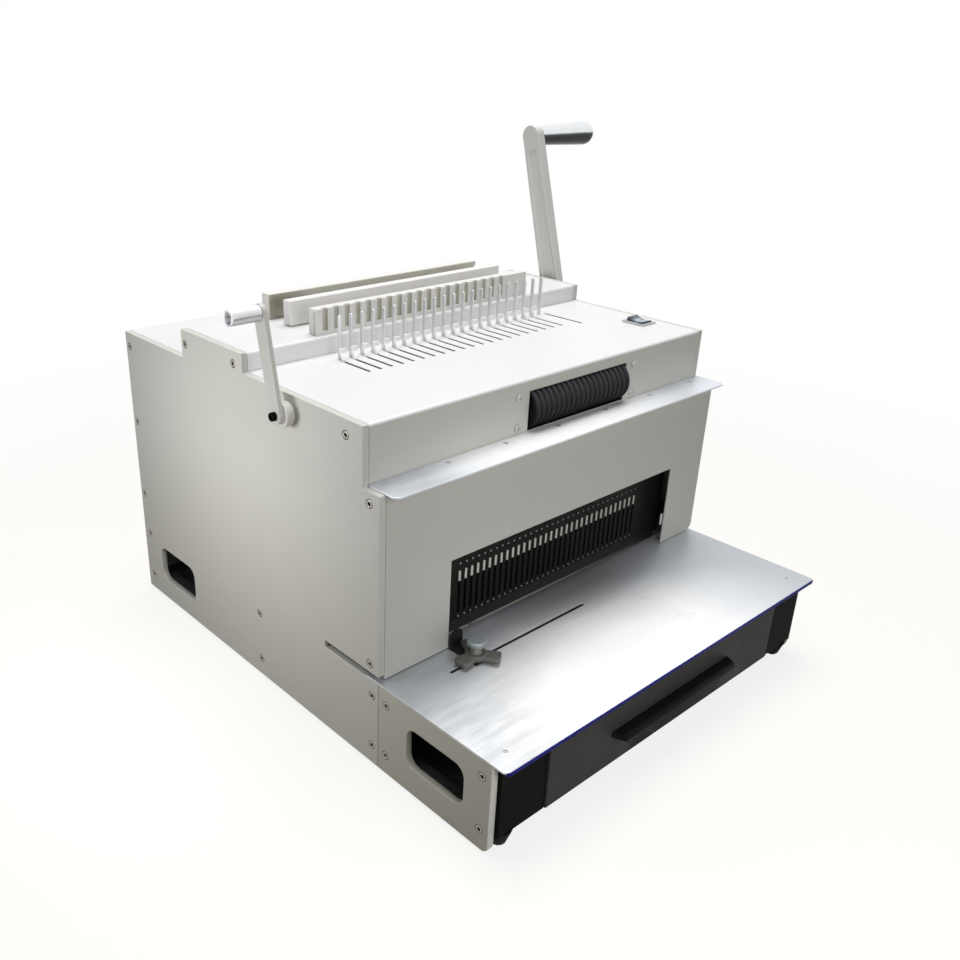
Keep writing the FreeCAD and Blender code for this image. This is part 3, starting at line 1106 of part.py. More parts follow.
save("crank_shaft", [join([rod_x(CRANK_Y, CRANK_Z, CRANK_SHAFT_R, SHAFT_OUT + 0.5, CRANK_SHAFT_X1)] + pinions)])

# Wire closer: slotted bar, press bar on a racked carriage, anvil bar, lever
slotted = box(BAR_X0, SLOT_BAR_X1, SLOT_BAR_Y, SLOT_BAR_Y + SLOT_BAR_D, UPPER_Z, UPPER_Z + BAR_H)
grooves = [box(GROOVE_X0 + COMB_PITCH * i - GROOVE_W / 2, GROOVE_X0 + COMB_PITCH * i + GROOVE_W / 2, SLOT_BAR_Y - 1,
               SLOT_BAR_Y + GROOVE_DEPTH, UPPER_Z + GROOVE_FOOT, UPPER_Z + BAR_H + 1) for i in range(GROOVE_COUNT)]
save("slotted_wire_bar", [slotted.cut(grooves)])
press_z0 = UPPER_Z + PRESS_BAR_GAP
save("press_bar", [box(BAR_X0, PRESS_BAR_X1, PRESS_BAR_Y, PRESS_BAR_Y + PRESS_BAR_D, press_z0, UPPER_Z + BAR_H)])
anvil = slab_x([(ANVIL_Y + ANVIL_LIP, UPPER_Z), (ANVIL_Y + ANVIL_LIP, UPPER_Z + BAR_H - 5),
                (ANVIL_Y, UPPER_Z + BAR_H - 5), (ANVIL_Y, UPPER_Z + BAR_H), (ANVIL_Y + ANVIL_D, UPPER_Z + BAR_H),
                (ANVIL_Y + ANVIL_D, UPPER_Z)], BAR_X0, ANVIL_X1)
save("anvil_bar", [anvil])

PRESS_PITCH_Z = LEVER_Z - PINION_R - 0.1
RACK_Z1 = PRESS_PITCH_Z - 1.2 * RACK_MODULE
RACK_Z0 = RACK_Z1 - PRESS_RACK_H
press_rack_y0 = LEVER_Y - PRESS_TRAVEL - 10.0
pieces = []
for x in (-PRESS_RACK_X, PRESS_RACK_X):
    pieces.append(box(x - RACK_W / 2, x + RACK_W / 2, press_rack_y0, POST_Y1, RACK_Z0, RACK_Z1))
    pieces.append(box(x - RACK_W / 2, x + RACK_W / 2, POST_Y0, POST_Y1, RACK_Z0, press_z0))
    for points in rack_teeth(press_rack_y0, POST_Y0 - 0.5, PRESS_PITCH_Z, 1, RACK_MODULE, LEVER_Y):
        pieces.append(slab_x(points, x - RACK_W / 2, x + RACK_W / 2))
save("press_carriage", [join(pieces[:len(pieces) // 2]), join(pieces[len(pieces) // 2:])])


def rack_channel(x):
    y1 = POST_Y1 + PRESS_TRAVEL + 2
    z0 = RACK_Z0 - DRAWER_GAP
    inner = RACK_W / 2 + DRAWER_GAP
    points = [(x - inner - 3, z0 - 3), (x + inner + 3, z0 - 3), (x + inner + 3, z0 + 5), (x + inner, z0 + 5),
              (x + inner, z0), (x - inner, z0), (x - inner, z0 + 5), (x - inner - 3, z0 + 5)]
    return slab_y(points, press_rack_y0 - 2, y1)


channel_z = RACK_Z0 - DRAWER_GAP - 3
crossbars = [box(-INNER, INNER, y, y + RAIL_W, channel_z - RAIL_W, channel_z) for y in (press_rack_y0 + 2, POST_Y1)]
save("press_supports", [rack_channel(-PRESS_RACK_X), rack_channel(PRESS_RACK_X)] + crossbars
     + [hanger(x, LEVER_Y, LEVER_Z, LEVER_SHAFT_R, UPPER_UNDER)
        for x in (-PRESS_RACK_X - RACK_W / 2 - HANGER_GAP - HANGER_T, PRESS_RACK_X + RACK_W / 2 + HANGER_GAP)])

ARM_X0 = HALF + LEVER_OUT
lever_lean = math.radians(LEVER_LEAN)
lever_y = LEVER_Y + LEVER_LENGTH * math.sin(lever_lean)
lever_z = LEVER_Z + LEVER_LENGTH * math.cos(lever_lean)
lever = arm_bar(LEVER_Y, LEVER_Z, lever_y, lever_z, LEVER_FOOT_W, LEVER_W, ARM_X0, ARM_X0 + LEVER_T)
lever = join([lever, rod_x(LEVER_Y, LEVER_Z, 15.0, HALF + OUT_GAP, ARM_X0)])


def lever_point(along, across):
    return (LEVER_Y + along * math.sin(lever_lean) + across * math.cos(lever_lean),
            LEVER_Z + along * math.cos(lever_lean) - across * math.sin(lever_lean))


# Shallow band along the inner face of the lever, near its rear edge
band_top = LEVER_LENGTH + LEVER_W / 2 - LEVER_BAND_TOP
band_rear = LEVER_W / 2 - LEVER_BAND_REAR
band_corners = ((LEVER_BAND_FOOT, band_rear + 1), (band_top, band_rear), (band_top, band_rear - LEVER_BAND_W),
                (LEVER_BAND_FOOT, band_rear - LEVER_BAND_W))
band = slab_x([lever_point(*corner) for corner in band_corners], ARM_X0 - 1, ARM_X0 + LEVER_BAND_D)
save("lever_arm", [lever.cut(band).cut(rod_x(LEVER_Y, LEVER_Z, LEVER_SHAFT_R + 0.02, 0, ARM_X0 + LEVER_T - 3))])
GRIP_X0 = ARM_X0 + LEVER_T
nose = LEVER_GRIP_L - LEVER_GRIP_NOSE
grip_points = [(0, 0), (0, LEVER_GRIP_R), (nose, LEVER_GRIP_END_R), (nose + 5, LEVER_GRIP_END_R - 0.7),
               (nose + 9.5, LEVER_GRIP_END_R - 3.2), (LEVER_GRIP_L, LEVER_GRIP_TIP_R), (LEVER_GRIP_L, 0)]
lever_grip = face_of([vec(x, r, 0) for x, r in grip_points]).revolve(vec(0, 0, 0), X_AXIS, 360)
lever_grip.translate(vec(GRIP_X0, lever_y, lever_z))
save("lever_grip", [lever_grip])
pinions = [gear_x(LEVER_Y, LEVER_Z, RACK_MODULE, RACK_TEETH, math.pi / 2, x - RACK_W / 2, x + RACK_W / 2)
           for x in (-PRESS_RACK_X, PRESS_RACK_X)]
LEVER_SHAFT_X0 = -PRESS_RACK_X - RACK_W / 2 - HANGER_GAP - HANGER_T - 2
save("lever_shaft", [join([rod_x(LEVER_Y, LEVER_Z, LEVER_SHAFT_R, LEVER_SHAFT_X0, ARM_X0 + LEVER_T - 3.5)] + pinions)])

save("shaft_bushes", [bush(CRANK_Y, CRANK_Z, CRANK_SHAFT_R + RUN_GAP, CRANK_BUSH_R, CRANK_BUSH_R + 4, -INNER, -HALF),
                      bush(LEVER_Y, LEVER_Z, LEVER_SHAFT_R + RUN_GAP, LEVER_BUSH_R, LEVER_BUSH_R + 4, INNER, HALF)])

# Side guide on its bolt, and the star knob
PLATE_Z0 = TABLE_TOP + GUIDE_GAP
PLATE_Z1 = PLATE_Z0 + GUIDE_PLATE_T
BOLT_TOP = PLATE_Z1 + GUIDE_GAP + KNOB_BODY_H + 6.0
FLANGE_Y0 = GUIDE_SLOT_Y + math.hypot(KNOB_LOBE_R, KNOB_LOBE_HALF) + FLANGE_GAP
FLANGE_Y1 = FLANGE_Y0 + FLANGE_T
base = box(KNOB_X - GUIDE_HALF_W, KNOB_X + GUIDE_HALF_W, GUIDE_SLOT_Y - 9, FLANGE_Y1, PLATE_Z0, PLATE_Z1)
upright = box(KNOB_X - GUIDE_HALF_W, KNOB_X + GUIDE_HALF_W, FLANGE_Y0, FLANGE_Y1, PLATE_Z0, GUIDE_TOP)
upright = round_edges(upright, GUIDE_HALF_W * 0.8, Y_AXIS, lambda p: near(p.z, GUIDE_TOP))
bolt_hole = rod_z(KNOB_X, GUIDE_SLOT_Y, 3.02, PLATE_Z0 - 1, PLATE_Z1 + 1)
guide = join([base, upright]).cut(bolt_hole)
NUT_TOP = BASE_TOP - GUIDE_GAP
bolt = join([box(KNOB_X - 10, KNOB_X + 10, GUIDE_SLOT_Y - 6, GUIDE_SLOT_Y + 6, NUT_TOP - 4, NUT_TOP),
             rod_z(KNOB_X, GUIDE_SLOT_Y, GUIDE_SLOT_W / 2 - 0.2, NUT_TOP - 1, PLATE_Z0),
             rod_z(KNOB_X, GUIDE_SLOT_Y, 3.0, PLATE_Z0, BOLT_TOP)])
save("side_guide", [guide, bolt])

KNOB_Z0 = PLATE_Z1 + GUIDE_GAP
KNOB_Z1 = KNOB_Z0 + KNOB_BODY_H
lobes = [rod_z(KNOB_X, GUIDE_SLOT_Y, KNOB_BODY_R, KNOB_Z0, KNOB_Z1),
         rod_z(KNOB_X, GUIDE_SLOT_Y, KNOB_NECK_R, KNOB_Z1, KNOB_Z1 + KNOB_NECK_H)]
for i in range(3):
    lobe = slab_z([(2, -6), (KNOB_LOBE_R, -KNOB_LOBE_HALF), (KNOB_LOBE_R, KNOB_LOBE_HALF), (2, 6)],
                  KNOB_Z0, KNOB_Z0 + KNOB_LOBE_T)
    lobe = round_edges(lobe, 3.5, Z_AXIS, lambda p: p.x > KNOB_LOBE_R - 0.1)
    lobe.rotate(vec(0, 0, 0), Z_AXIS, KNOB_LOBE_TURN + 120 * i)
    lobe.translate(vec(KNOB_X, GUIDE_SLOT_Y, 0))
    lobes.append(lobe)
knob_bore = rod_z(KNOB_X, GUIDE_SLOT_Y, 3.0 + RUN_GAP, KNOB_Z0 - 1, BOLT_TOP + 1)
CAP_Z0 = KNOB_Z1 + KNOB_NECK_H
cap = rod_z(KNOB_X, GUIDE_SLOT_Y, KNOB_CAP_R, CAP_Z0, CAP_Z0 + KNOB_CAP_H)
cap_rim = [edge for edge in cap.Edges if near(edge.BoundBox.ZMin, CAP_Z0 + KNOB_CAP_H)]
cap = cap.makeFillet(1.5, cap_rim)
save("star_knob", [join(lobes + [cap]).cut(knob_bore)])

# Power switch
SWITCH_Y = (SWITCH_Y0 + SWITCH_Y1) / 2
PIVOT_Z = COMB_Z - 1.0
bezel = join([box(SWITCH_X0, SWITCH_X1, SWITCH_Y0, SWITCH_Y1, COMB_Z, COMB_Z + 2),
              box(SWITCH_X0 + 1.2, SWITCH_X1 - 1.2, SWITCH_Y0 + 1.2, SWITCH_Y1 - 1.2, COMB_Z - 18, COMB_Z)])
bezel = bezel.cut(box(SWITCH_X0 + SWITCH_RIM, SWITCH_X1 - SWITCH_RIM, SWITCH_Y0 + SWITCH_RIM, SWITCH_Y1 - SWITCH_RIM,
                      COMB_Z - 12, COMB_Z + 3))
ROCKER_X0 = SWITCH_X0 + SWITCH_RIM + 0.4
ROCKER_X1 = SWITCH_X1 - SWITCH_RIM - 0.4
pin_ends = (ROCKER_X0 - ROCKER_PIN_L, ROCKER_X1 + ROCKER_PIN_L)
bezel = bezel.cut(rod_x(SWITCH_Y, PIVOT_Z, ROCKER_PIN_R + RUN_GAP, pin_ends[0] - 0.1, pin_ends[1] + 0.1))
save("switch_bezel", [bezel])
reach = (SWITCH_Y1 - SWITCH_Y0) / 2 - SWITCH_RIM - 1.2
rocker = slab_x([(-reach, 6.0), (0, 3.2), (reach, 6.0), (reach, 1.5), (5, -6), (-5, -6), (-reach, 1.5)],
                ROCKER_X0, ROCKER_X1)
rocker.rotate(vec(0, 0, 0), X_AXIS, SWITCH_TILT)
rocker.translate(vec(0, SWITCH_Y, PIVOT_Z))
save("switch_rocker", [join([rocker, rod_x(SWITCH_Y, PIVOT_Z, ROCKER_PIN_R, pin_ends[0], pin_ends[1])])])
print("travel", COMB_TRAVEL, PRESS_TRAVEL, "ratio", PINION_R, PUNCH_STROKE / math.radians(CAM_TURN))
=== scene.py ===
import bpy
import bmesh
import json
import math
from mathutils import Matrix, Vector


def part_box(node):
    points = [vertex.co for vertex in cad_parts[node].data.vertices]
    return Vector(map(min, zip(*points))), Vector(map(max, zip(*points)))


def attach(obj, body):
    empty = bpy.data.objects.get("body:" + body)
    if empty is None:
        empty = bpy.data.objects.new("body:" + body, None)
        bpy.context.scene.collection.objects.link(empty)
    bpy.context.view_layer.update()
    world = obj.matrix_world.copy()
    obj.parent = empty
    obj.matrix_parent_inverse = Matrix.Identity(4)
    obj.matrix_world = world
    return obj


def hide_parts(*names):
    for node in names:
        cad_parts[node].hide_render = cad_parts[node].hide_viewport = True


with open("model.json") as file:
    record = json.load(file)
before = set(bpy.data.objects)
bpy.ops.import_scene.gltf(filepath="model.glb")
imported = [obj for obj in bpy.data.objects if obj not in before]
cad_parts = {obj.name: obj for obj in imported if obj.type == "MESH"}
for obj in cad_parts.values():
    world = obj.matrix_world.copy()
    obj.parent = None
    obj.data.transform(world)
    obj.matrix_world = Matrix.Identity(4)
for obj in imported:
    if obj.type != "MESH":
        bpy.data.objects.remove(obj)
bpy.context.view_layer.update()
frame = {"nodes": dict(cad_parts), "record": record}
nodes = frame["nodes"]
body_of = {node: body for body, names in frame["record"]["behaviour"]["bodies"].items() for node in names}
slot_of = {part["node"]: part["material_slot"] for part in frame["record"]["subparts"]}

# Noise scales: long scratches of brushed sheet, rings of turned metal, orange peel of sprayed paint
SCRATCHES = (1.2, 260.0, 260.0)
RINGS = (900.0, 6.0, 6.0)
PEEL = 620.0

# Colours used more than once
SHEET_WHITE = (1.0, 1.0, 1.0, 1)
DECK_WHITE = (0.76, 0.76, 0.765, 1)

# The row of pins and studs in the throat, from its left to its right end
ROW_LEFT = -0.16
ROW_RIGHT = 0.13

# Bends in degrees: faces this flat are one, edges this sharp are rounded; wider faces than this area stay flat
FLAT_BEND = 1.5
SLIGHT_BEND = 1
SHARP_BEND = 30
WIDE_FACE = 6e-4

# Rounding of the pieces' sharp edges
EDGE_WIDTHS = {
    "left_side_panel": 0.0007, "right_side_panel": 0.0007, "left_base_panel": 0.0007, "right_base_panel": 0.0007,
    "fascia": 0.0005, "tray_shelf": 0.0004, "work_table": 0.0004, "slotted_wire_bar": 0.0004, "press_bar": 0.0005,
    "anvil_bar": 0.0005, "front_posts": 0.0008, "drawer_front": 0.0010, "crank_arm": 0.0006, "lever_arm": 0.0007,
    "side_guide": 0.0004, "switch_bezel": 0.0005, "switch_rocker": 0.0005, "drawer_handle": 0.0010,
    "crank_grip": 0.0005, "crank_screw": 0.0005, "comb_tines": 0.0003, "comb_hooks": 0.0002, "comb_deck": 0.0004,
    "upper_deck": 0.0004, "rear_deck": 0.0004, "star_knob": 0.0006, "rubber_feet": 0.0006,
    "table_edge_strip": 0.0002,
}

# Side screws, as shares of the head's radius and heights over the panel's face
SCREW_SINK = ((0.52, -0.0052), (0.52, -0.0024), (1.0, -0.0008), (0.97, -0.0002), (0.80, -0.0003))
SCREW_HEAD = ((0.80, -0.0003), (0.76, 0.0), (0.46, -0.0001), (0.42, -0.0003))
SCREW_SOCKET = ((0.42, -0.0003), (0.38, -0.0016), (0.0, -0.0022))
SOCKET_SHARE = 0.41

# Ribbed sleeve of the roller: each rib as shares of its pitch and of its drop below the crest
RIBS = 20
RIB_DROP = 0.0019
RIB_SHAPE = ((0.02, 1.0), (0.14, 0.35), (0.30, 0.08), (0.48, 0.0), (0.66, 0.08), (0.82, 0.35), (0.94, 1.0))
SLEEVE_BORE = 0.0052
SLEEVE_END_DROP = 0.0022

# White tab at the throat's right end
TAB_SIZE = (0.018, 0.0012, 0.014)
TAB_CENTRE = (0.196, -0.1463, 0.1295)
TAB_ROUNDING = 0.0003

# Studio: name, place, aim, size and power of each lamp; half the floor's width, how far it lies under the feet, and
# the glow of the floor and the room
LAMPS = (
    ("overhead", (0.15, 0.30, 2.6), (0, 0, 0.2), 1.4, 58),
    ("left_window", (-0.56, 0.08, 0.29), (-0.25, 0.06, 0.24), 0.16, 0.82),
    ("front_fill", (-0.35, -0.95, 0.62), (-0.05, -0.15, 0.2), 0.4, 3),
)
FLOOR_HALF = 9.0
FLOOR_DROP = 0.0005
FLOOR_GLOW = 0.82
ROOM_GLOW = 0.17

# Camera: the picture's side and the view's centre in pixels, focal length in pixels, place and axes
IMAGE = 960.0
SENSOR = 36.0
FOCAL = 965.875
CENTRE = (401.62, 487.63)
EYE = (-0.7218156, -0.7121177, 0.6282497)
EYE_RIGHT = Vector((0.75386721, -0.65681365, 0.01673492))
EYE_UP = Vector((0.25915129, 0.32065727, 0.91105408))
EYE_BACK = Vector((-0.60375893, -0.68247692, 0.4119471))


class Value:
    """A socket that Python's operators join through Math nodes."""

    def __init__(self, shading, socket):
        self.shading = shading
        self.socket = socket

    def __add__(self, other):
        return self.shading.maths("ADD", self, other)

    def __sub__(self, other):
        return self.shading.maths("SUBTRACT", self, other)

    def __rsub__(self, other):
        return self.shading.maths("SUBTRACT", other, self)

    def __mul__(self, other):
        return self.shading.maths("MULTIPLY", self, other)

    __radd__ = __add__
    __rmul__ = __mul__

    def above(self, edge, width):
        """Rises from 0 to 1 while the value climbs past the edge, over the width to either side."""
        return self.shading.node("ShaderNodeMapRange", {"clamp": True},
                                 {"Value": self, "From Min": edge - width, "From Max": edge + width})

    def below(self, edge, width):
        return 1.0 - self.above(edge, width)


class Shading:
    """The nodes of one material or world, each made by the same method."""

    def __init__(self, owner):
        self.owner = owner
        owner.use_nodes = True
        self.tree = owner.node_tree
        self.tree.nodes.clear()

    def node(self, kind, settings=None, values=None, out=0):
        made = self.tree.nodes.new(kind)
        for key, setting in (settings or {}).items():
            setattr(made, key, setting)
        for key, value in (values or {}).items():
            if isinstance(value, Value):
                self.tree.links.new(value.socket, made.inputs[key])
            else:
                made.inputs[key].default_value = value
        return Value(self, made.outputs[out]) if made.outputs else None

    def maths(self, operation, *terms):
        return self.node("ShaderNodeMath", {"operation": operation}, dict(enumerate(terms)))

    def distance(self, across, along):
        return self.maths("SQRT", across * across + along * along)

    def seen(self):
        """1 for the rays that show the backdrop itself: the camera's, mirrored ones and those through glass."""
        camera, glossy, through = [self.node("ShaderNodeLightPath", out=ray)
                                   for ray in ("Is Camera Ray", "Is Glossy Ray", "Is Transmission Ray")]
        return self.maths("MAXIMUM", camera, self.maths("MAXIMUM", glossy, through))


class Finish(Shading):
    """One material on the piece's own coordinates, most often round a Principled shader."""

    def __init__(self, name):
        super().__init__(bpy.data.materials.new(name))
        self.place = self.node("ShaderNodeTexCoord", out="Object")

    def stretched(self, scale):
        return self.node("ShaderNodeMapping", None, {"Vector": self.place, "Scale": scale})

    def noise(self, scale, detail=2.0, rough=0.5, where=None):
        return self.node("ShaderNodeTexNoise", None, {"Vector": where or self.place, "Scale": scale, "Detail": detail,
                                                      "Roughness": rough})

    def mix(self, factor, first, second):
        return self.node("ShaderNodeMix", {"data_type": "RGBA"}, {0: factor, 6: first, 7: second}, 2)

    def varied(self, share, colour, low, high):
        """The colour, darker or lighter by two factors as the share runs from 0 to 1."""
        return self.mix(share, shade(colour, low), shade(colour, high))

    def axis(self, name):
        return self.node("ShaderNodeSeparateXYZ", None, {"Vector": self.place}, name)

    def away(self, centre, reach):
        """Squared distance in X and Y from a centre, in units of the reach."""
        x = (self.axis("X") - centre[0]) * (1.0 / reach[0])
        y = (self.axis("Y") - centre[1]) * (1.0 / reach[1])
        return x * x + y * y

    def bump(self, height, strength, depth):
        return self.node("ShaderNodeBump", None, {"Height": height, "Strength": strength, "Distance": depth})

    def surface(self, **sockets):
        return self.finished(self.node("ShaderNodeBsdfPrincipled", None,
                                       {key.replace("_", " "): value for key, value in sockets.items()}))

    def finished(self, shader):
        self.node("ShaderNodeOutputMaterial", None, {"Surface": shader})
        return self.owner


def shade(colour, factor):
    return tuple(min(part * factor, 1.0) for part in colour[:3]) + (1.0,)


def powder_coat(name, colour, rough=0.46, film=None, edge=None):
    """Sprayed and baked paint: fine orange peel, cloudiness, pale scuffs, a painted shade low down and a painted
    highlight along a pale front edge.
    """
    f = Finish(name)
    cloud = f.noise(5.0, 3.0)
    speck = f.noise(1400.0, 1.0)
    scuff = f.noise(60.0, 4.0, 0.6, f.stretched((1.0, 1.0, 7.0))).above(0.71, 0.03)
    tone = f.varied(cloud, colour, 0.955, 1.035)
    tone = f.mix(speck.above(0.62, 0.12) * 0.35, tone, shade(colour, 0.90))
    tone = f.mix(scuff * 0.25, tone, shade(colour, 1.12))
    if film:
        # Painted shade: darker toward the bottom, below the given height
        low = (f.axis("Z") + (cloud - 0.5) * 0.04).below(*film)
        tone = f.mix(low * 0.5, tone, (colour[0] * 0.72, colour[1] * 0.71, colour[2] * 0.66, 1))
    if edge:
        # Painted highlight: the front edge is painted pale
        front_y, pale = edge
        tone = f.mix(f.axis("Y").below(front_y + 0.0012, 0.0004), tone, pale)
    return f.surface(Base_Color=tone, Roughness=cloud * 0.10 + speck * 0.06 + (rough - 0.08),
                     Normal=f.bump(f.noise(PEEL, 2.0), 0.16, 0.0004))


def deck_coat(name, colour, front, slot, front_y, top):
    """White sprayed deck; its turned-down front face is the cabinet's cream, and the cut walls of its slots are painted
    dark as painted shade.
    """
    f = Finish(name)
    cloud = f.noise(5.0, 3.0)
    speck = f.noise(1400.0, 1.0)
    tone = f.varied(cloud, colour, 0.955, 1.035)
    tone = f.mix(speck.above(0.62, 0.12) * 0.35, tone, shade(colour, 0.92))
    # Painted shade: the slot walls under the top face and behind the front get the slot colour
    under = f.axis("Z").below(top - 0.0007, 0.0002)
    inside = f.axis("Y").above(front_y + 0.004, 0.0005)
    tone = f.mix(under * inside, tone, slot)
    turned_down = f.axis("Z").below(top - 0.0022, 0.0012) * (1.0 - inside)
    tone = f.mix(turned_down, tone, f.varied(cloud, front, 0.96, 1.04))
    return f.surface(Base_Color=tone, Roughness=cloud * 0.10 + speck * 0.06 + 0.32,
                     Normal=f.bump(f.noise(PEEL, 2.0), 0.16, 0.0004))


def brushed(name, colour, dull, rough, highlight_patch, shade_patches, left):
    """Brushed stainless sheet: long fine scratches, soft clouds and hand marks, with a painted highlight over the
    middle, painted shadows and reflections of dark parts in patches, and painted reflection streaks near the left edge.
    """
    f = Finish(name)
    line = f.noise(1.0, 3.0, 0.65, f.stretched(SCRATCHES))
    fine = f.noise(4.0, 2.0, 0.7, f.stretched(SCRATCHES))
    cloud = f.noise(7.0, 4.0, 0.55)
    mark = f.noise(26.0, 4.0, 0.6).above(0.63, 0.05)
    # Painted highlight: the middle is brighter and more metallic
    share = (f.away(*highlight_patch) + (cloud - 0.5) * 1.6).above(1.1, 0.9)
    tone = f.mix(share, colour, dull)
    # Painted shadows and painted reflections of the dark parts nearby, each patch darkest at its centre
    for centre, reach, strength in shade_patches:
        shade_mask = (f.away(centre, reach) + (cloud - 0.5) * 0.8).below(0.9, 0.8)
        tone = f.mix(shade_mask * strength, tone, shade(dull, 0.22))
    # Painted reflection: darker streaks along X near the left edge
    streak = f.noise(1.0, 4.0, 0.6, f.stretched((14.0, 75.0, 75.0))).above(0.5, 0.10)
    tone = f.mix(streak * f.axis("X").below(left, 0.05) * 0.40, tone, shade(dull, 0.55))
    tone = f.mix(line * 0.30, tone, shade(dull, 0.80))
    tone = f.mix(mark * 0.18, tone, shade(dull, 0.75))
    grain = f.bump(line * 0.6 + fine * 0.4, 0.16, 0.0002)
    return f.surface(Base_Color=tone, Metallic=share * 0.38 + 0.08, Normal=grain,
                     Roughness=line * 0.10 + cloud * 0.10 + mark * 0.06 + (rough - 0.10))


def pale_tube(name, colour, level, reach, end_x):
    """Smooth plated tube with fine turning marks, a dark painted reflection line low on its side and a bluish painted
    reflection along its underside.
    """
    f = Finish(name)
    ring = f.noise(1.0, 2.0, 0.6, f.stretched(RINGS))
    haze = f.noise(50.0, 3.0)
    height = f.axis("Z") + (haze - 0.5) * 0.0006
    # Painted reflection: a dark line low on the side, stopping short of the left end
    line = height.above(level - reach * 0.19, reach * 0.07) * height.below(level + reach * 0.03, reach * 0.07)
    line = line * f.axis("X").above(end_x + 0.0018, 0.0005)
    tone = f.varied(ring, colour, 0.99, 1.01)
    tone = f.mix(line * 0.75, tone, (0.28, 0.30, 0.29, 1))
    # Painted reflection: bluish along the underside
    tone = f.mix(height.below(level - reach * 0.60, reach * 0.08) * 0.6, tone, (0.30, 0.29, 0.36, 1))
    return f.surface(Base_Color=tone, Metallic=0.12, Roughness=ring * 0.03 + haze * 0.08 + 0.26,
                     Normal=f.bump(haze, 0.02, 0.0001))


def lever_chrome(name, low, high):
    """Chromed sleeve with a painted reflection: bright above and blued dark below, with a thin olive line where the two
    meet.
    """
    f = Finish(name)
    ring = f.noise(1.0, 2.0, 0.6, f.stretched(RINGS))
    haze = f.noise(40.0, 3.0)
    height = f.axis("Z") + (haze - 0.5) * 0.0012
    # Painted reflection: the upper part bright, the lower part dark, an olive line between
    up = height.above(low + (high - low) * 0.55, 0.0011)
    line = height.above(low + (high - low) * 0.46, 0.001) * (1.0 - up)
    tone = f.mix(up, (0.010, 0.012, 0.016, 1), (0.86, 0.88, 0.90, 1))
    tone = f.mix(line * 0.5, tone, (0.085, 0.095, 0.080, 1))
    tone = f.mix(ring * 0.12, tone, (0.40, 0.41, 0.42, 1))
    return f.surface(Base_Color=tone, Metallic=0.85, Roughness=ring * 0.05 + haze * 0.10 + 0.10,
                     Specular_IOR_Level=0.3, Normal=f.bump(ring, 0.08, 0.0001))


def plain_steel(name, colour, rough=0.42, metal=0.9):
    """Mill-finish steel with patches of oxide and a film of oil."""
    f = Finish(name)
    patch = f.noise(24.0, 5.0, 0.6)
    grit = f.noise(700.0, 2.0)
    tone = f.varied(patch, colour, 0.72, 1.18)
    return f.surface(Base_Color=tone, Metallic=metal, Roughness=patch * 0.25 + grit * 0.06 + (rough - 0.15),
                     Normal=f.bump(grit, 0.12, 0.0002))


def shaded_row(name, left_end, right_end, rough, metal=0.3):
    """Small steel parts in a row, darker toward the right end as painted shade."""
    f = Finish(name)
    patch = f.noise(24.0, 5.0, 0.6)
    grit = f.noise(700.0, 2.0)
    # Painted shade: the colour runs from the left end's to the darker right end's along the row
    along = f.axis("X").above((ROW_LEFT + ROW_RIGHT) / 2, (ROW_RIGHT - ROW_LEFT) / 2)
    tone = f.mix(along, left_end, right_end)
    tone = f.mix(patch.above(0.5, 0.3) * 0.35, tone, (0.10, 0.097, 0.09, 1))
    return f.surface(Base_Color=tone, Metallic=metal, Roughness=patch * 0.25 + grit * 0.06 + (rough - 0.15),
                     Normal=f.bump(grit, 0.12, 0.0002))


def moulded(name, colour, rough, grain, lift, gloss=0.06, depth=0.0001):
    """Moulded plastic with a spark-eroded grain, a little paler where it is rubbed."""
    f = Finish(name)
    leather = f.noise(grain, 3.0, 0.6)
    rub = f.noise(18.0, 3.0, 0.6).above(0.58, 0.12)
    tone = f.varied(rub * 0.6, colour, 1.0, lift)
    tone = f.mix(leather.above(0.62, 0.1) * 0.3, tone, shade(colour, lift * 1.2))
    return f.surface(Base_Color=tone, Roughness=leather * 0.12 - rub * 0.08 + rough, Specular_IOR_Level=gloss,
                     Normal=f.bump(leather, 0.3, depth))


def shaded_front(name, colour, under, reach):
    """Textured grey plastic, with a painted shadow of the handle below it."""
    f = Finish(name)
    leather = f.noise(500.0, 3.0, 0.6)
    rub = f.noise(18.0, 3.0, 0.6).above(0.58, 0.12)
    # Painted shadow of the handle, a rounded patch below it; room is this shadow's mask
    x = (f.axis("X") - under[0]) * (1.0 / reach[0])
    z = (f.axis("Z") - under[1]) * (1.0 / reach[1])
    room = (x * x * x * x + z * z + (rub - 0.3) * 0.1).below(0.85, 0.25)
    room = room * f.axis("Z").below(under[1] + 0.003, 0.003)
    tone = f.varied(rub * 0.6, colour, 1.0, 1.2)
    tone = f.mix(leather.above(0.62, 0.1) * 0.3, tone, shade(colour, 1.45))
    tone = f.mix(room * 0.9, tone, (0.005, 0.005, 0.0045, 1))
    return f.surface(Base_Color=tone, Roughness=leather * 0.12 - rub * 0.08 + 0.5, Specular_IOR_Level=0.06,
                     Normal=f.bump(leather, 0.3, 0.0002))


def rubber(name, colour, gloss, rough=0.55):
    """Matt rubber with a bloom of dust."""
    f = Finish(name)
    dust = f.noise(140.0, 5.0, 0.7).above(0.56, 0.14)
    pore = f.noise(1500.0, 2.0)
    tone = f.mix(dust * 0.35, colour, shade(colour, 2.6))
    return f.surface(Base_Color=tone, Roughness=dust * 0.15 + pore * 0.08 + rough, Specular_IOR_Level=gloss,
                     Normal=f.bump(pore, 0.35, 0.0002))


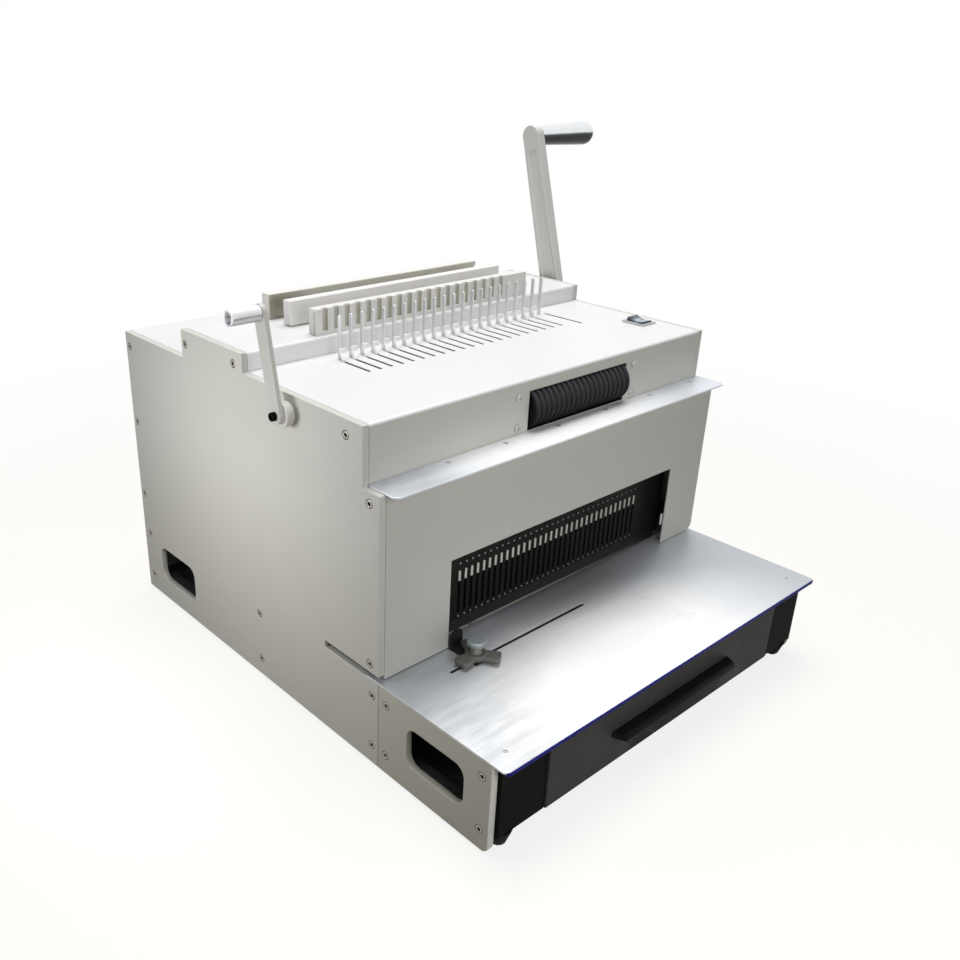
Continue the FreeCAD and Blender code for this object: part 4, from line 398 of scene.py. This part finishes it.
def ribbed(name, valley, ridge, top_ridge_highlight, centre, outer):
    """Rubber sleeve with a bloom of dust: valleys darker as painted shade, ridges lighter as a painted highlight,
    palest on the upper side.
    """
    f = Finish(name)
    dust = f.noise(140.0, 5.0, 0.7).above(0.56, 0.14)
    pore = f.noise(1500.0, 2.0)
    z = f.axis("Z") - centre.z
    out = f.distance(f.axis("Y") - centre.y, z).above(outer - 0.0007, 0.0006)
    # Painted shade in the valleys, painted highlight on the ridges, brightest on the upper side
    tone = f.mix(out, valley, f.mix(z.above(outer * 0.25, outer * 0.55), ridge, top_ridge_highlight))
    tone = f.mix(dust * 0.25, tone, shade(ridge, 1.8))
    return f.surface(Base_Color=tone, Roughness=dust * 0.15 + pore * 0.08 + 0.38, Specular_IOR_Level=0.12,
                     Normal=f.bump(pore, 0.35, 0.0002))


def rocker_coat(name, colour, face, low, high):
    """Smoked rocker with a pale blue painted highlight on its face inside the rim."""
    f = Finish(name)
    haze = f.noise(60.0, 3.0)
    wide, long = high[0] - low[0], high[1] - low[1]
    # Painted highlight: the face inside the rim is pale blue
    inside = f.axis("X").above(low[0] + wide * 0.22, wide * 0.05)
    inside = inside * f.axis("X").below(high[0] - wide * 0.16, wide * 0.05)
    inside = inside * f.axis("Y").above(low[1] + long * 0.13, long * 0.04)
    inside = inside * f.axis("Y").below(high[1] - long * 0.30, long * 0.05)
    tone = f.mix(inside, f.varied(haze, colour, 0.85, 1.15), f.varied(haze, face, 0.9, 1.1))
    return f.surface(Base_Color=tone, Roughness=haze * 0.08 + 0.16, Specular_IOR_Level=0.4,
                     Normal=f.bump(haze, 0.05, 0.0001))


def milled_bar(name, colour, groove, face_y, top):
    """Painted bar whose milled grooves are painted olive-grey behind the front face as painted shade."""
    f = Finish(name)
    cloud = f.noise(9.0, 3.0)
    cutter = f.noise(1.0, 3.0, 0.6, f.stretched((40.0, 40.0, 1500.0)))
    # Painted shade: the grooves' walls behind the front face, stopping short of the top
    groove_shade = f.axis("Y").above(face_y + 0.0006, 0.0003) * f.axis("Y").below(face_y + 0.0046, 0.0004)
    groove_shade = groove_shade * f.axis("Z").below(top - 0.0020, 0.0010)
    tone = f.mix(groove_shade, f.varied(cloud, colour, 0.95, 1.04), f.varied(cutter, groove, 0.85, 1.15))
    return f.surface(Base_Color=tone, Metallic=groove_shade * 0.25, Roughness=cloud * 0.08 + cutter * 0.06 + 0.38,
                     Normal=f.bump(cutter * groove_shade + cloud * 0.2, 0.15, 0.0002))


def fronted(name, colour, front, further, front_y, turn_x):
    """Painted bar whose front face in the gap is painted dull olive as painted shadow, darkest at its left end."""
    f = Finish(name)
    cloud = f.noise(9.0, 3.0)
    cutter = f.noise(1.0, 3.0, 0.6, f.stretched((30.0, 30.0, 900.0)))
    # Painted shadow: the front face, dull olive, darkest at the left end; bare is this shadow's mask
    bare = f.axis("Y").below(front_y + 0.0026, 0.0003)
    metal = f.mix(f.axis("X").above(turn_x, 0.02), f.varied(cutter, front, 0.85, 1.15),
                  f.varied(cutter, further, 0.9, 1.1))
    return f.surface(Base_Color=f.mix(bare, f.varied(cloud, colour, 0.95, 1.04), metal), Metallic=bare * 0.2,
                     Roughness=cloud * 0.08 + cutter * 0.06 + 0.38,
                     Normal=f.bump(cutter * bare + cloud * 0.2, 0.12, 0.0002))


def two_metals(name, low, middle, high, level, head_level):
    """Cast lobes below, a bare turned neck and a pale head above."""
    f = Finish(name)
    sand = f.noise(260.0, 4.0, 0.6)
    patch = f.noise(50.0, 3.0)
    up = f.axis("Z").above(level, 0.0003)
    head = f.mix(f.axis("Z").above(head_level, 0.0003), middle, high)
    head = f.mix(patch * 0.3, head, shade(high, 0.7))
    return f.surface(Base_Color=f.mix(up, f.varied(patch, low, 0.8, 1.25), head), Metallic=up * 0.1 + 0.3,
                     Specular_IOR_Level=0.25, Roughness=sand * 0.14 + patch * 0.1 + 0.30,
                     Normal=f.bump(sand, 0.2, 0.0002))


def edge_lit(name, colour, edge, edge_y):
    """Blackened sheet with a painted highlight along its front edge, in patches and fading out toward the right."""
    f = Finish(name)
    grit = f.noise(420.0, 3.0, 0.6)
    wear_and_highlight = f.noise(30.0, 4.0, 0.6)
    # Painted highlight: the front edge painted pale in patches, fading toward the right; bare is this highlight's mask
    bare = f.axis("Y").below(edge_y + 0.0007, 0.0003) * wear_and_highlight.above(0.30, 0.08) * f.axis("X").below(0.06, 0.12)
    tone = f.mix(bare, f.varied(wear_and_highlight, colour, 0.85, 1.25), edge)
    return f.surface(Base_Color=tone, Metallic=bare * 0.6, Roughness=grit * 0.12 + wear_and_highlight * 0.08 + 0.34,
                     Specular_IOR_Level=0.12, Normal=f.bump(grit, 0.12, 0.0001))


# Paints
# The cream paint darkens low down as painted shade
cream = powder_coat("cream_paint", (0.60, 0.595, 0.555, 1), film=(0.13, 0.11))
# The base panels' paint is the cream darkened as painted shade, darker still low down, with a painted highlight on its
# front edge
base_paint_shaded = powder_coat("base_paint_shaded", (0.515, 0.505, 0.44, 1), film=(0.05, 0.06),
                         edge=(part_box("left_base_panel")[0][1], (0.84, 0.83, 0.79, 1)))
fascia_paint = powder_coat("fascia_paint", (0.56, 0.555, 0.51, 1))
white = powder_coat("white_paint", DECK_WHITE, 0.40)
deck_low, deck_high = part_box("comb_deck")
# The deck's slot walls get a near-black painted shade
deck_paint = deck_coat("deck_paint", DECK_WHITE, (0.58, 0.575, 0.53, 1), (0.10, 0.10, 0.105, 1), deck_low[1],
                       deck_high[2])
arm_paint = powder_coat("arm_paint", (0.57, 0.565, 0.53, 1), 0.38)
lever_paint = powder_coat("lever_paint", (0.72, 0.715, 0.68, 1), 0.38)
hook_paint = powder_coat("hook_paint", (0.92, 0.92, 0.92, 1), 0.35)
bar_paint = powder_coat("bar_paint", (0.80, 0.785, 0.765, 1), 0.42)
# The anvil's front face is painted dull olive as painted shadow
anvil_paint = fronted("anvil_paint", (0.76, 0.75, 0.72, 1), (0.33, 0.31, 0.25, 1), (0.55, 0.54, 0.47, 1),
                      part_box("anvil_bar")[0][1], -0.125)
slot_bar_low, slot_bar_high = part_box("slotted_wire_bar")
# The slotted bar's grooves are painted olive-grey as painted shade
slotted_paint = milled_bar("slotted_paint", (0.74, 0.73, 0.69, 1), (0.55, 0.54, 0.47, 1), slot_bar_low[1],
                           slot_bar_high[2])

# Sheets and bare metals
# The table and tray get painted highlights over their middles, painted shadow patches and painted reflection streaks
table_steel = brushed("table_steel", SHEET_WHITE, (0.64, 0.67, 0.71, 1), 0.42, ((-0.05, -0.285), (0.20, 0.10)),
                      [((0.03, -0.150), (0.10, 0.040), 0.60), ((-0.26, -0.170), (0.10, 0.050), 0.30),
                       ((0.27, -0.26), (0.14, 0.10), 0.32)], -0.165)
tray_steel = brushed("tray_steel", SHEET_WHITE, (0.69, 0.72, 0.77, 1), 0.42, ((-0.01, -0.15), (0.13, 0.10)),
                     [((-0.22, -0.145), (0.06, 0.03), 0.18)], -0.17)
grip_low, grip_high = (corner[2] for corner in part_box("crank_grip"))
# The crank grip carries painted reflections
grip_metal = pale_tube("grip_metal", (0.88, 0.89, 0.90, 1), (grip_low + grip_high) / 2, (grip_high - grip_low) / 2,
                       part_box("crank_grip")[0][0])
# The lever's sleeve carries a painted reflection
lever_sleeve = lever_chrome("lever_sleeve", *(corner[2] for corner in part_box("lever_grip")))
# Studs and pins darken toward the right end of the row as painted shade
stud_metal = shaded_row("stud_metal", (0.36, 0.35, 0.33, 1), (0.13, 0.125, 0.12, 1), 0.45)
pin_metal = shaded_row("pin_metal", (0.76, 0.73, 0.66, 1), (0.50, 0.47, 0.42, 1), 0.40)
sink_shadow = plain_steel("sink_shadow", (0.095, 0.09, 0.07, 1), 0.5, 0.2)
flush_metal = plain_steel("flush_metal", (0.54, 0.54, 0.53, 1), 0.40, 0.35)
screw_metal = plain_steel("screw_metal", (0.38, 0.37, 0.33, 1), 0.36, 0.5)
tine_metal = plain_steel("tine_metal", (0.76, 0.77, 0.78, 1), 0.40, 0.35)
inner_steel = plain_steel("inner_steel", (0.14, 0.14, 0.15, 1))
knob_metal = two_metals("knob_metal", (0.145, 0.142, 0.132, 1), (0.30, 0.29, 0.25, 1), (0.32, 0.355, 0.37, 1),
                        0.1080, 0.1162)
# The lip's pale front edge is a painted highlight
lip_black = edge_lit("lip_black", (0.011, 0.011, 0.010, 1), (0.22, 0.21, 0.19, 1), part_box("sheet_lip")[0][1])

# Plastics and rubber
black = moulded("black_plastic", (0.0038, 0.0037, 0.0034, 1), 0.55, 900.0, 1.35, 0.03, 0.0003)
handle_low, handle_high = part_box("drawer_handle")
handle_long = handle_high[0] - handle_low[0]
# The drawer front carries the handle's painted shadow
drawer_paint = shaded_front("drawer_paint", (0.058, 0.056, 0.053, 1),
                            (handle_low[0] + handle_long * 0.56, handle_low[2]), (handle_long * 0.42, 0.045))
handle_black = moulded("handle_black", (0.009, 0.009, 0.0095, 1), 0.45, 1200.0, 1.3, 0.05)
guide_black = moulded("guide_black", (0.020, 0.0185, 0.016, 1), 0.45, 900.0, 1.5, 0.08)
die_black = moulded("die_black", (0.009, 0.0088, 0.008, 1), 0.42, 300.0, 1.6)
blue = moulded("blue_edge", (0.008, 0.012, 0.17, 1), 0.4, 1500.0, 1.2)
bezel_grey = moulded("bezel_grey", (0.46, 0.47, 0.48, 1), 0.35, 1200.0, 1.15, 0.4)
# The screw sockets are painted near-black as painted shade
socket_shade = moulded("socket_shade", (0.020, 0.019, 0.017, 1), 0.6, 800.0, 1.3, 0.1)
# The rocker's pale blue face is a painted highlight
rocker_face = rocker_coat("rocker_face", (0.035, 0.043, 0.052, 1), (0.33, 0.41, 0.50, 1), *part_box("switch_rocker"))
roller_box = [Vector(corner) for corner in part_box("coil_roller")]
roller_centre = (roller_box[0] + roller_box[1]) / 2
roller_outer = (roller_box[1].z - roller_box[0].z) / 2
# The roller's valleys and ridges carry painted shade and painted highlights
roller_rubber = ribbed("roller_rubber", (0.0015, 0.0015, 0.0015, 1), (0.006, 0.006, 0.006, 1), (0.050, 0.052, 0.058, 1),
                       roller_centre, roller_outer)
foot_rubber = rubber("foot_rubber", (0.005, 0.005, 0.005, 1), 0.06)

BY_SLOT = {
    "cream_paint": cream, "white_paint": white, "stainless": table_steel, "plain_steel": inner_steel,
    "bright_steel": pin_metal, "zinc_screw": screw_metal, "blue_edge": blue, "black_plastic": black,
    "drawer_grey": drawer_paint, "black_die": die_black, "black_rubber": foot_rubber, "polished_grip": grip_metal,
    "cast_bar": bar_paint, "knob_metal": knob_metal,
}
BY_NODE = {
    "fascia": fascia_paint, "tray_shelf": tray_steel, "coil_roller": roller_rubber, "comb_tines": tine_metal,
    "comb_hooks": hook_paint, "crank_arm": arm_paint, "lever_arm": lever_paint, "sheet_lip": lip_black,
    "left_base_panel": base_paint_shaded, "right_base_panel": base_paint_shaded, "side_guide": guide_black,
    "small_screws": flush_metal, "drawer_handle": handle_black, "lever_grip": lever_sleeve,
    "slotted_wire_bar": slotted_paint, "switch_bezel": bezel_grey, "switch_rocker": rocker_face,
    "comb_deck": deck_paint, "anvil_bar": anvil_paint, "die_studs": stud_metal,
}


def finish_of(node):
    return BY_NODE.get(node) or BY_SLOT[slot_of[node]]


for name, thing in nodes.items():
    thing.data.materials.clear()
    thing.data.materials.append(finish_of(name))


def linked(name, data):
    thing = bpy.data.objects.new(name, data)
    bpy.context.scene.collection.objects.link(thing)
    return thing


def mesh_of(bm, name):
    mesh = bpy.data.meshes.new(name)
    bm.to_mesh(mesh)
    bm.free()
    return mesh


def piece_from(bm, name, material, body, slot, *stands_for):
    mesh = mesh_of(bm, name)
    mesh.materials.append(material)
    thing = linked(name, mesh)
    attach(thing, body)
    if stands_for:
        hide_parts(*stands_for)
    return thing


def merged(node):
    """A copy of a CAD node's mesh with its loose triangles joined."""
    bm = bmesh.new()
    bm.from_mesh(nodes[node].data)
    bmesh.ops.remove_doubles(bm, verts=bm.verts, dist=2e-6)
    return bm


def softened(node, width):
    """The same piece with its sharp edges rounded as a real one's are; its flat faces stay flat."""
    bm = merged(node)
    bmesh.ops.dissolve_limit(bm, angle_limit=math.radians(FLAT_BEND), verts=bm.verts, edges=bm.edges)
    bm.normal_update()
    curved = set()
    sharp = []
    for edge in bm.edges:
        bend = edge.calc_face_angle(0.0)
        if bend > math.radians(SHARP_BEND):
            sharp.append(edge)
        elif bend > math.radians(SLIGHT_BEND):
            curved.update(face for face in edge.link_faces if face.calc_area() < WIDE_FACE)
    for face in bm.faces:
        face.smooth = face in curved
    bmesh.ops.bevel(bm, geom=sharp, affect="EDGES", offset=width, offset_type="OFFSET", segments=2, profile=0.5,
                    material=-1, clamp_overlap=False, loop_slide=False)
    return piece_from(bm, node + "_rounded", finish_of(node), body_of[node], slot_of[node], node)


def solids_of(node):
    """Lowest and highest corner of each separate solid of a node."""
    bm = merged(node)
    boxes = []
    for start in bm.verts:
        if start.tag:
            continue
        start.tag = True
        found = [start]
        for vert in found:
            for edge in vert.link_edges:
                other = edge.other_vert(vert)
                if not other.tag:
                    other.tag = True
                    found.append(other)
        places = [vert.co for vert in found]
        boxes.append((Vector([min(place[i] for place in places) for i in range(3)]),
                      Vector([max(place[i] for place in places) for i in range(3)])))
    bm.free()
    return boxes


def turned(bm, profile, place, finish=0, steps=24, hexagon=0.0):
    """Spin a profile of (radius, height) round Z, make rings inside the hexagon's radius six-sided, and place it."""
    made = [bm.verts.new((radius, 0.0, height)) for radius, height in profile]
    lines = [bm.edges.new(pair) for pair in zip(made, made[1:])]
    old = len(bm.faces)
    bmesh.ops.spin(bm, geom=made + lines, cent=(0, 0, 0), axis=(0, 0, 1), angle=math.tau, steps=steps, use_merge=True)
    bm.faces.ensure_lookup_table()
    faces = bm.faces[old:]
    verts = list(dict.fromkeys(vert for face in faces for vert in face.verts))
    for vert in verts:
        if 0.0 < vert.co.xy.length < hexagon:
            corner = math.atan2(vert.co.y, vert.co.x) % (math.pi / 3) - math.pi / 6
            vert.co.xy *= math.cos(math.pi / 6) / math.cos(corner)
    bmesh.ops.transform(bm, matrix=place, verts=verts)
    for face in faces:
        face.smooth = True
        face.material_index = finish


def facing(centre, direction):
    """A place whose Z looks along the direction."""
    return Matrix.Translation(centre) @ Vector(direction).to_track_quat("Z", "Y").to_matrix().to_4x4()


for node, width in EDGE_WIDTHS.items():
    softened(node, width)

# Countersunk side screws: a dark ring of the sink painted as shadow, a bright dished head and a six-sided socket
# painted dark as shade
heads = bmesh.new()
for low, high in solids_of("side_screws"):
    side = 1 if low.x > 0 else -1
    face_x = high.x if side > 0 else low.x
    radius = (high.y - low.y) / 2
    place = facing((face_x, (low.y + high.y) / 2, (low.z + high.z) / 2), (side, 0, 0))
    for profile, finish, hexagon in ((SCREW_SINK, 1, 0.0), (SCREW_HEAD, 0, 0.0), (SCREW_SOCKET, 2, SOCKET_SHARE)):
        turned(heads, [(radius * share, height) for share, height in profile], place, finish, 24, radius * hexagon)
bmesh.ops.remove_doubles(heads, verts=heads.verts, dist=1e-6)
screws = piece_from(heads, "side_screw_heads", screw_metal, body_of["side_screws"], slot_of["side_screws"],
                    "side_screws")
screws.data.materials.append(sink_shadow)
screws.data.materials.append(socket_shade)

# Ribbed rubber sleeve of the coil roller
sleeve_left = roller_box[0].x
rib_pitch = (roller_box[1].x - sleeve_left) / RIBS
profile = [(SLEEVE_BORE, 0.0), (roller_outer - SLEEVE_END_DROP, 0.0)]
for rib in range(RIBS):
    profile += [(roller_outer - RIB_DROP * drop, (rib + share) * rib_pitch) for share, drop in RIB_SHAPE]
profile += [(roller_outer - SLEEVE_END_DROP, RIBS * rib_pitch), (SLEEVE_BORE, RIBS * rib_pitch)]
sleeve = bmesh.new()
turned(sleeve, profile, facing((sleeve_left, roller_centre.y, roller_centre.z), (1, 0, 0)), 0, 48)
bmesh.ops.remove_doubles(sleeve, verts=sleeve.verts, dist=1e-6)
piece_from(sleeve, "ribbed_sleeve", roller_rubber, body_of["coil_roller"], slot_of["coil_roller"], "coil_roller")

# White end tab behind the right end of the throat
tab = bmesh.new()
bmesh.ops.create_cube(tab, size=1.0)
bmesh.ops.scale(tab, vec=TAB_SIZE, verts=tab.verts)
bmesh.ops.translate(tab, vec=TAB_CENTRE, verts=tab.verts)
bmesh.ops.bevel(tab, geom=tab.edges[:], affect="EDGES", offset=TAB_ROUNDING, segments=2, profile=0.5, material=-1)
piece_from(tab, "throat_end_tab", hook_paint, "cabinet", "white_paint")

# Floor: pale paper near the machine that passes into the white backdrop further out, and keeps the shadow
sheet = bmesh.new()
bmesh.ops.create_grid(sheet, x_segments=1, y_segments=1, size=FLOOR_HALF)
floor = linked("floor", mesh_of(sheet, "floor"))
floor.location = (0, 0, -FLOOR_DROP)
f = Finish("floor_white")
seen = f.seen()
paper = f.mix(f.noise(3.0, 3.0), (0.16, 0.148, 0.124, 1), (0.176, 0.164, 0.140, 1))
ground = f.node("ShaderNodeBsdfDiffuse", None, {"Color": paper})
glow = f.node("ShaderNodeEmission", None, {"Color": (1, 1, 1, 1), "Strength": seen * FLOOR_GLOW})
near = f.node("ShaderNodeAddShader", None, {0: ground, 1: glow})
far = f.node("ShaderNodeEmission", None, {"Color": (1, 1, 1, 1), "Strength": 1.0})
outward = f.distance(f.axis("X"), f.axis("Y")).above(0.95, 0.35)
floor.data.materials.append(f.finished(f.node("ShaderNodeMixShader", None, {0: seen * outward, 1: near, 2: far})))

# Room: white to the eye, and a soft even light on the pieces
world = bpy.data.worlds.new("studio")
bpy.context.scene.world = world
room = Shading(world)
backdrop = room.node("ShaderNodeBackground", None, {"Color": (1, 1, 1, 1),
                                                    "Strength": room.seen() * (1.0 - ROOM_GLOW) + ROOM_GLOW})
room.node("ShaderNodeOutputWorld", None, {"Surface": backdrop})

for name, place, aim, size, power in LAMPS:
    light = bpy.data.lights.new(name, "AREA")
    light.shape = "SQUARE"
    light.size = size
    light.energy = power
    lamp = linked(name, light)
    lamp.location = place
    lamp.rotation_euler = (Vector(aim) - Vector(place)).to_track_quat("-Z", "Y").to_euler()

camera = bpy.data.cameras.new("camera")
camera.sensor_width = SENSOR
camera.lens = FOCAL * SENSOR / IMAGE
camera.shift_x = (IMAGE / 2 - CENTRE[0]) / IMAGE
camera.shift_y = (CENTRE[1] - IMAGE / 2) / IMAGE
camera.clip_start = 0.01
camera.clip_end = 60.0
eye = linked("camera", camera)
eye.matrix_world = Matrix.Translation(EYE) @ Matrix((EYE_RIGHT, EYE_UP, EYE_BACK)).transposed().to_4x4()
bpy.context.scene.camera = eye
bpy.context.scene.view_settings.view_transform = "Standard"
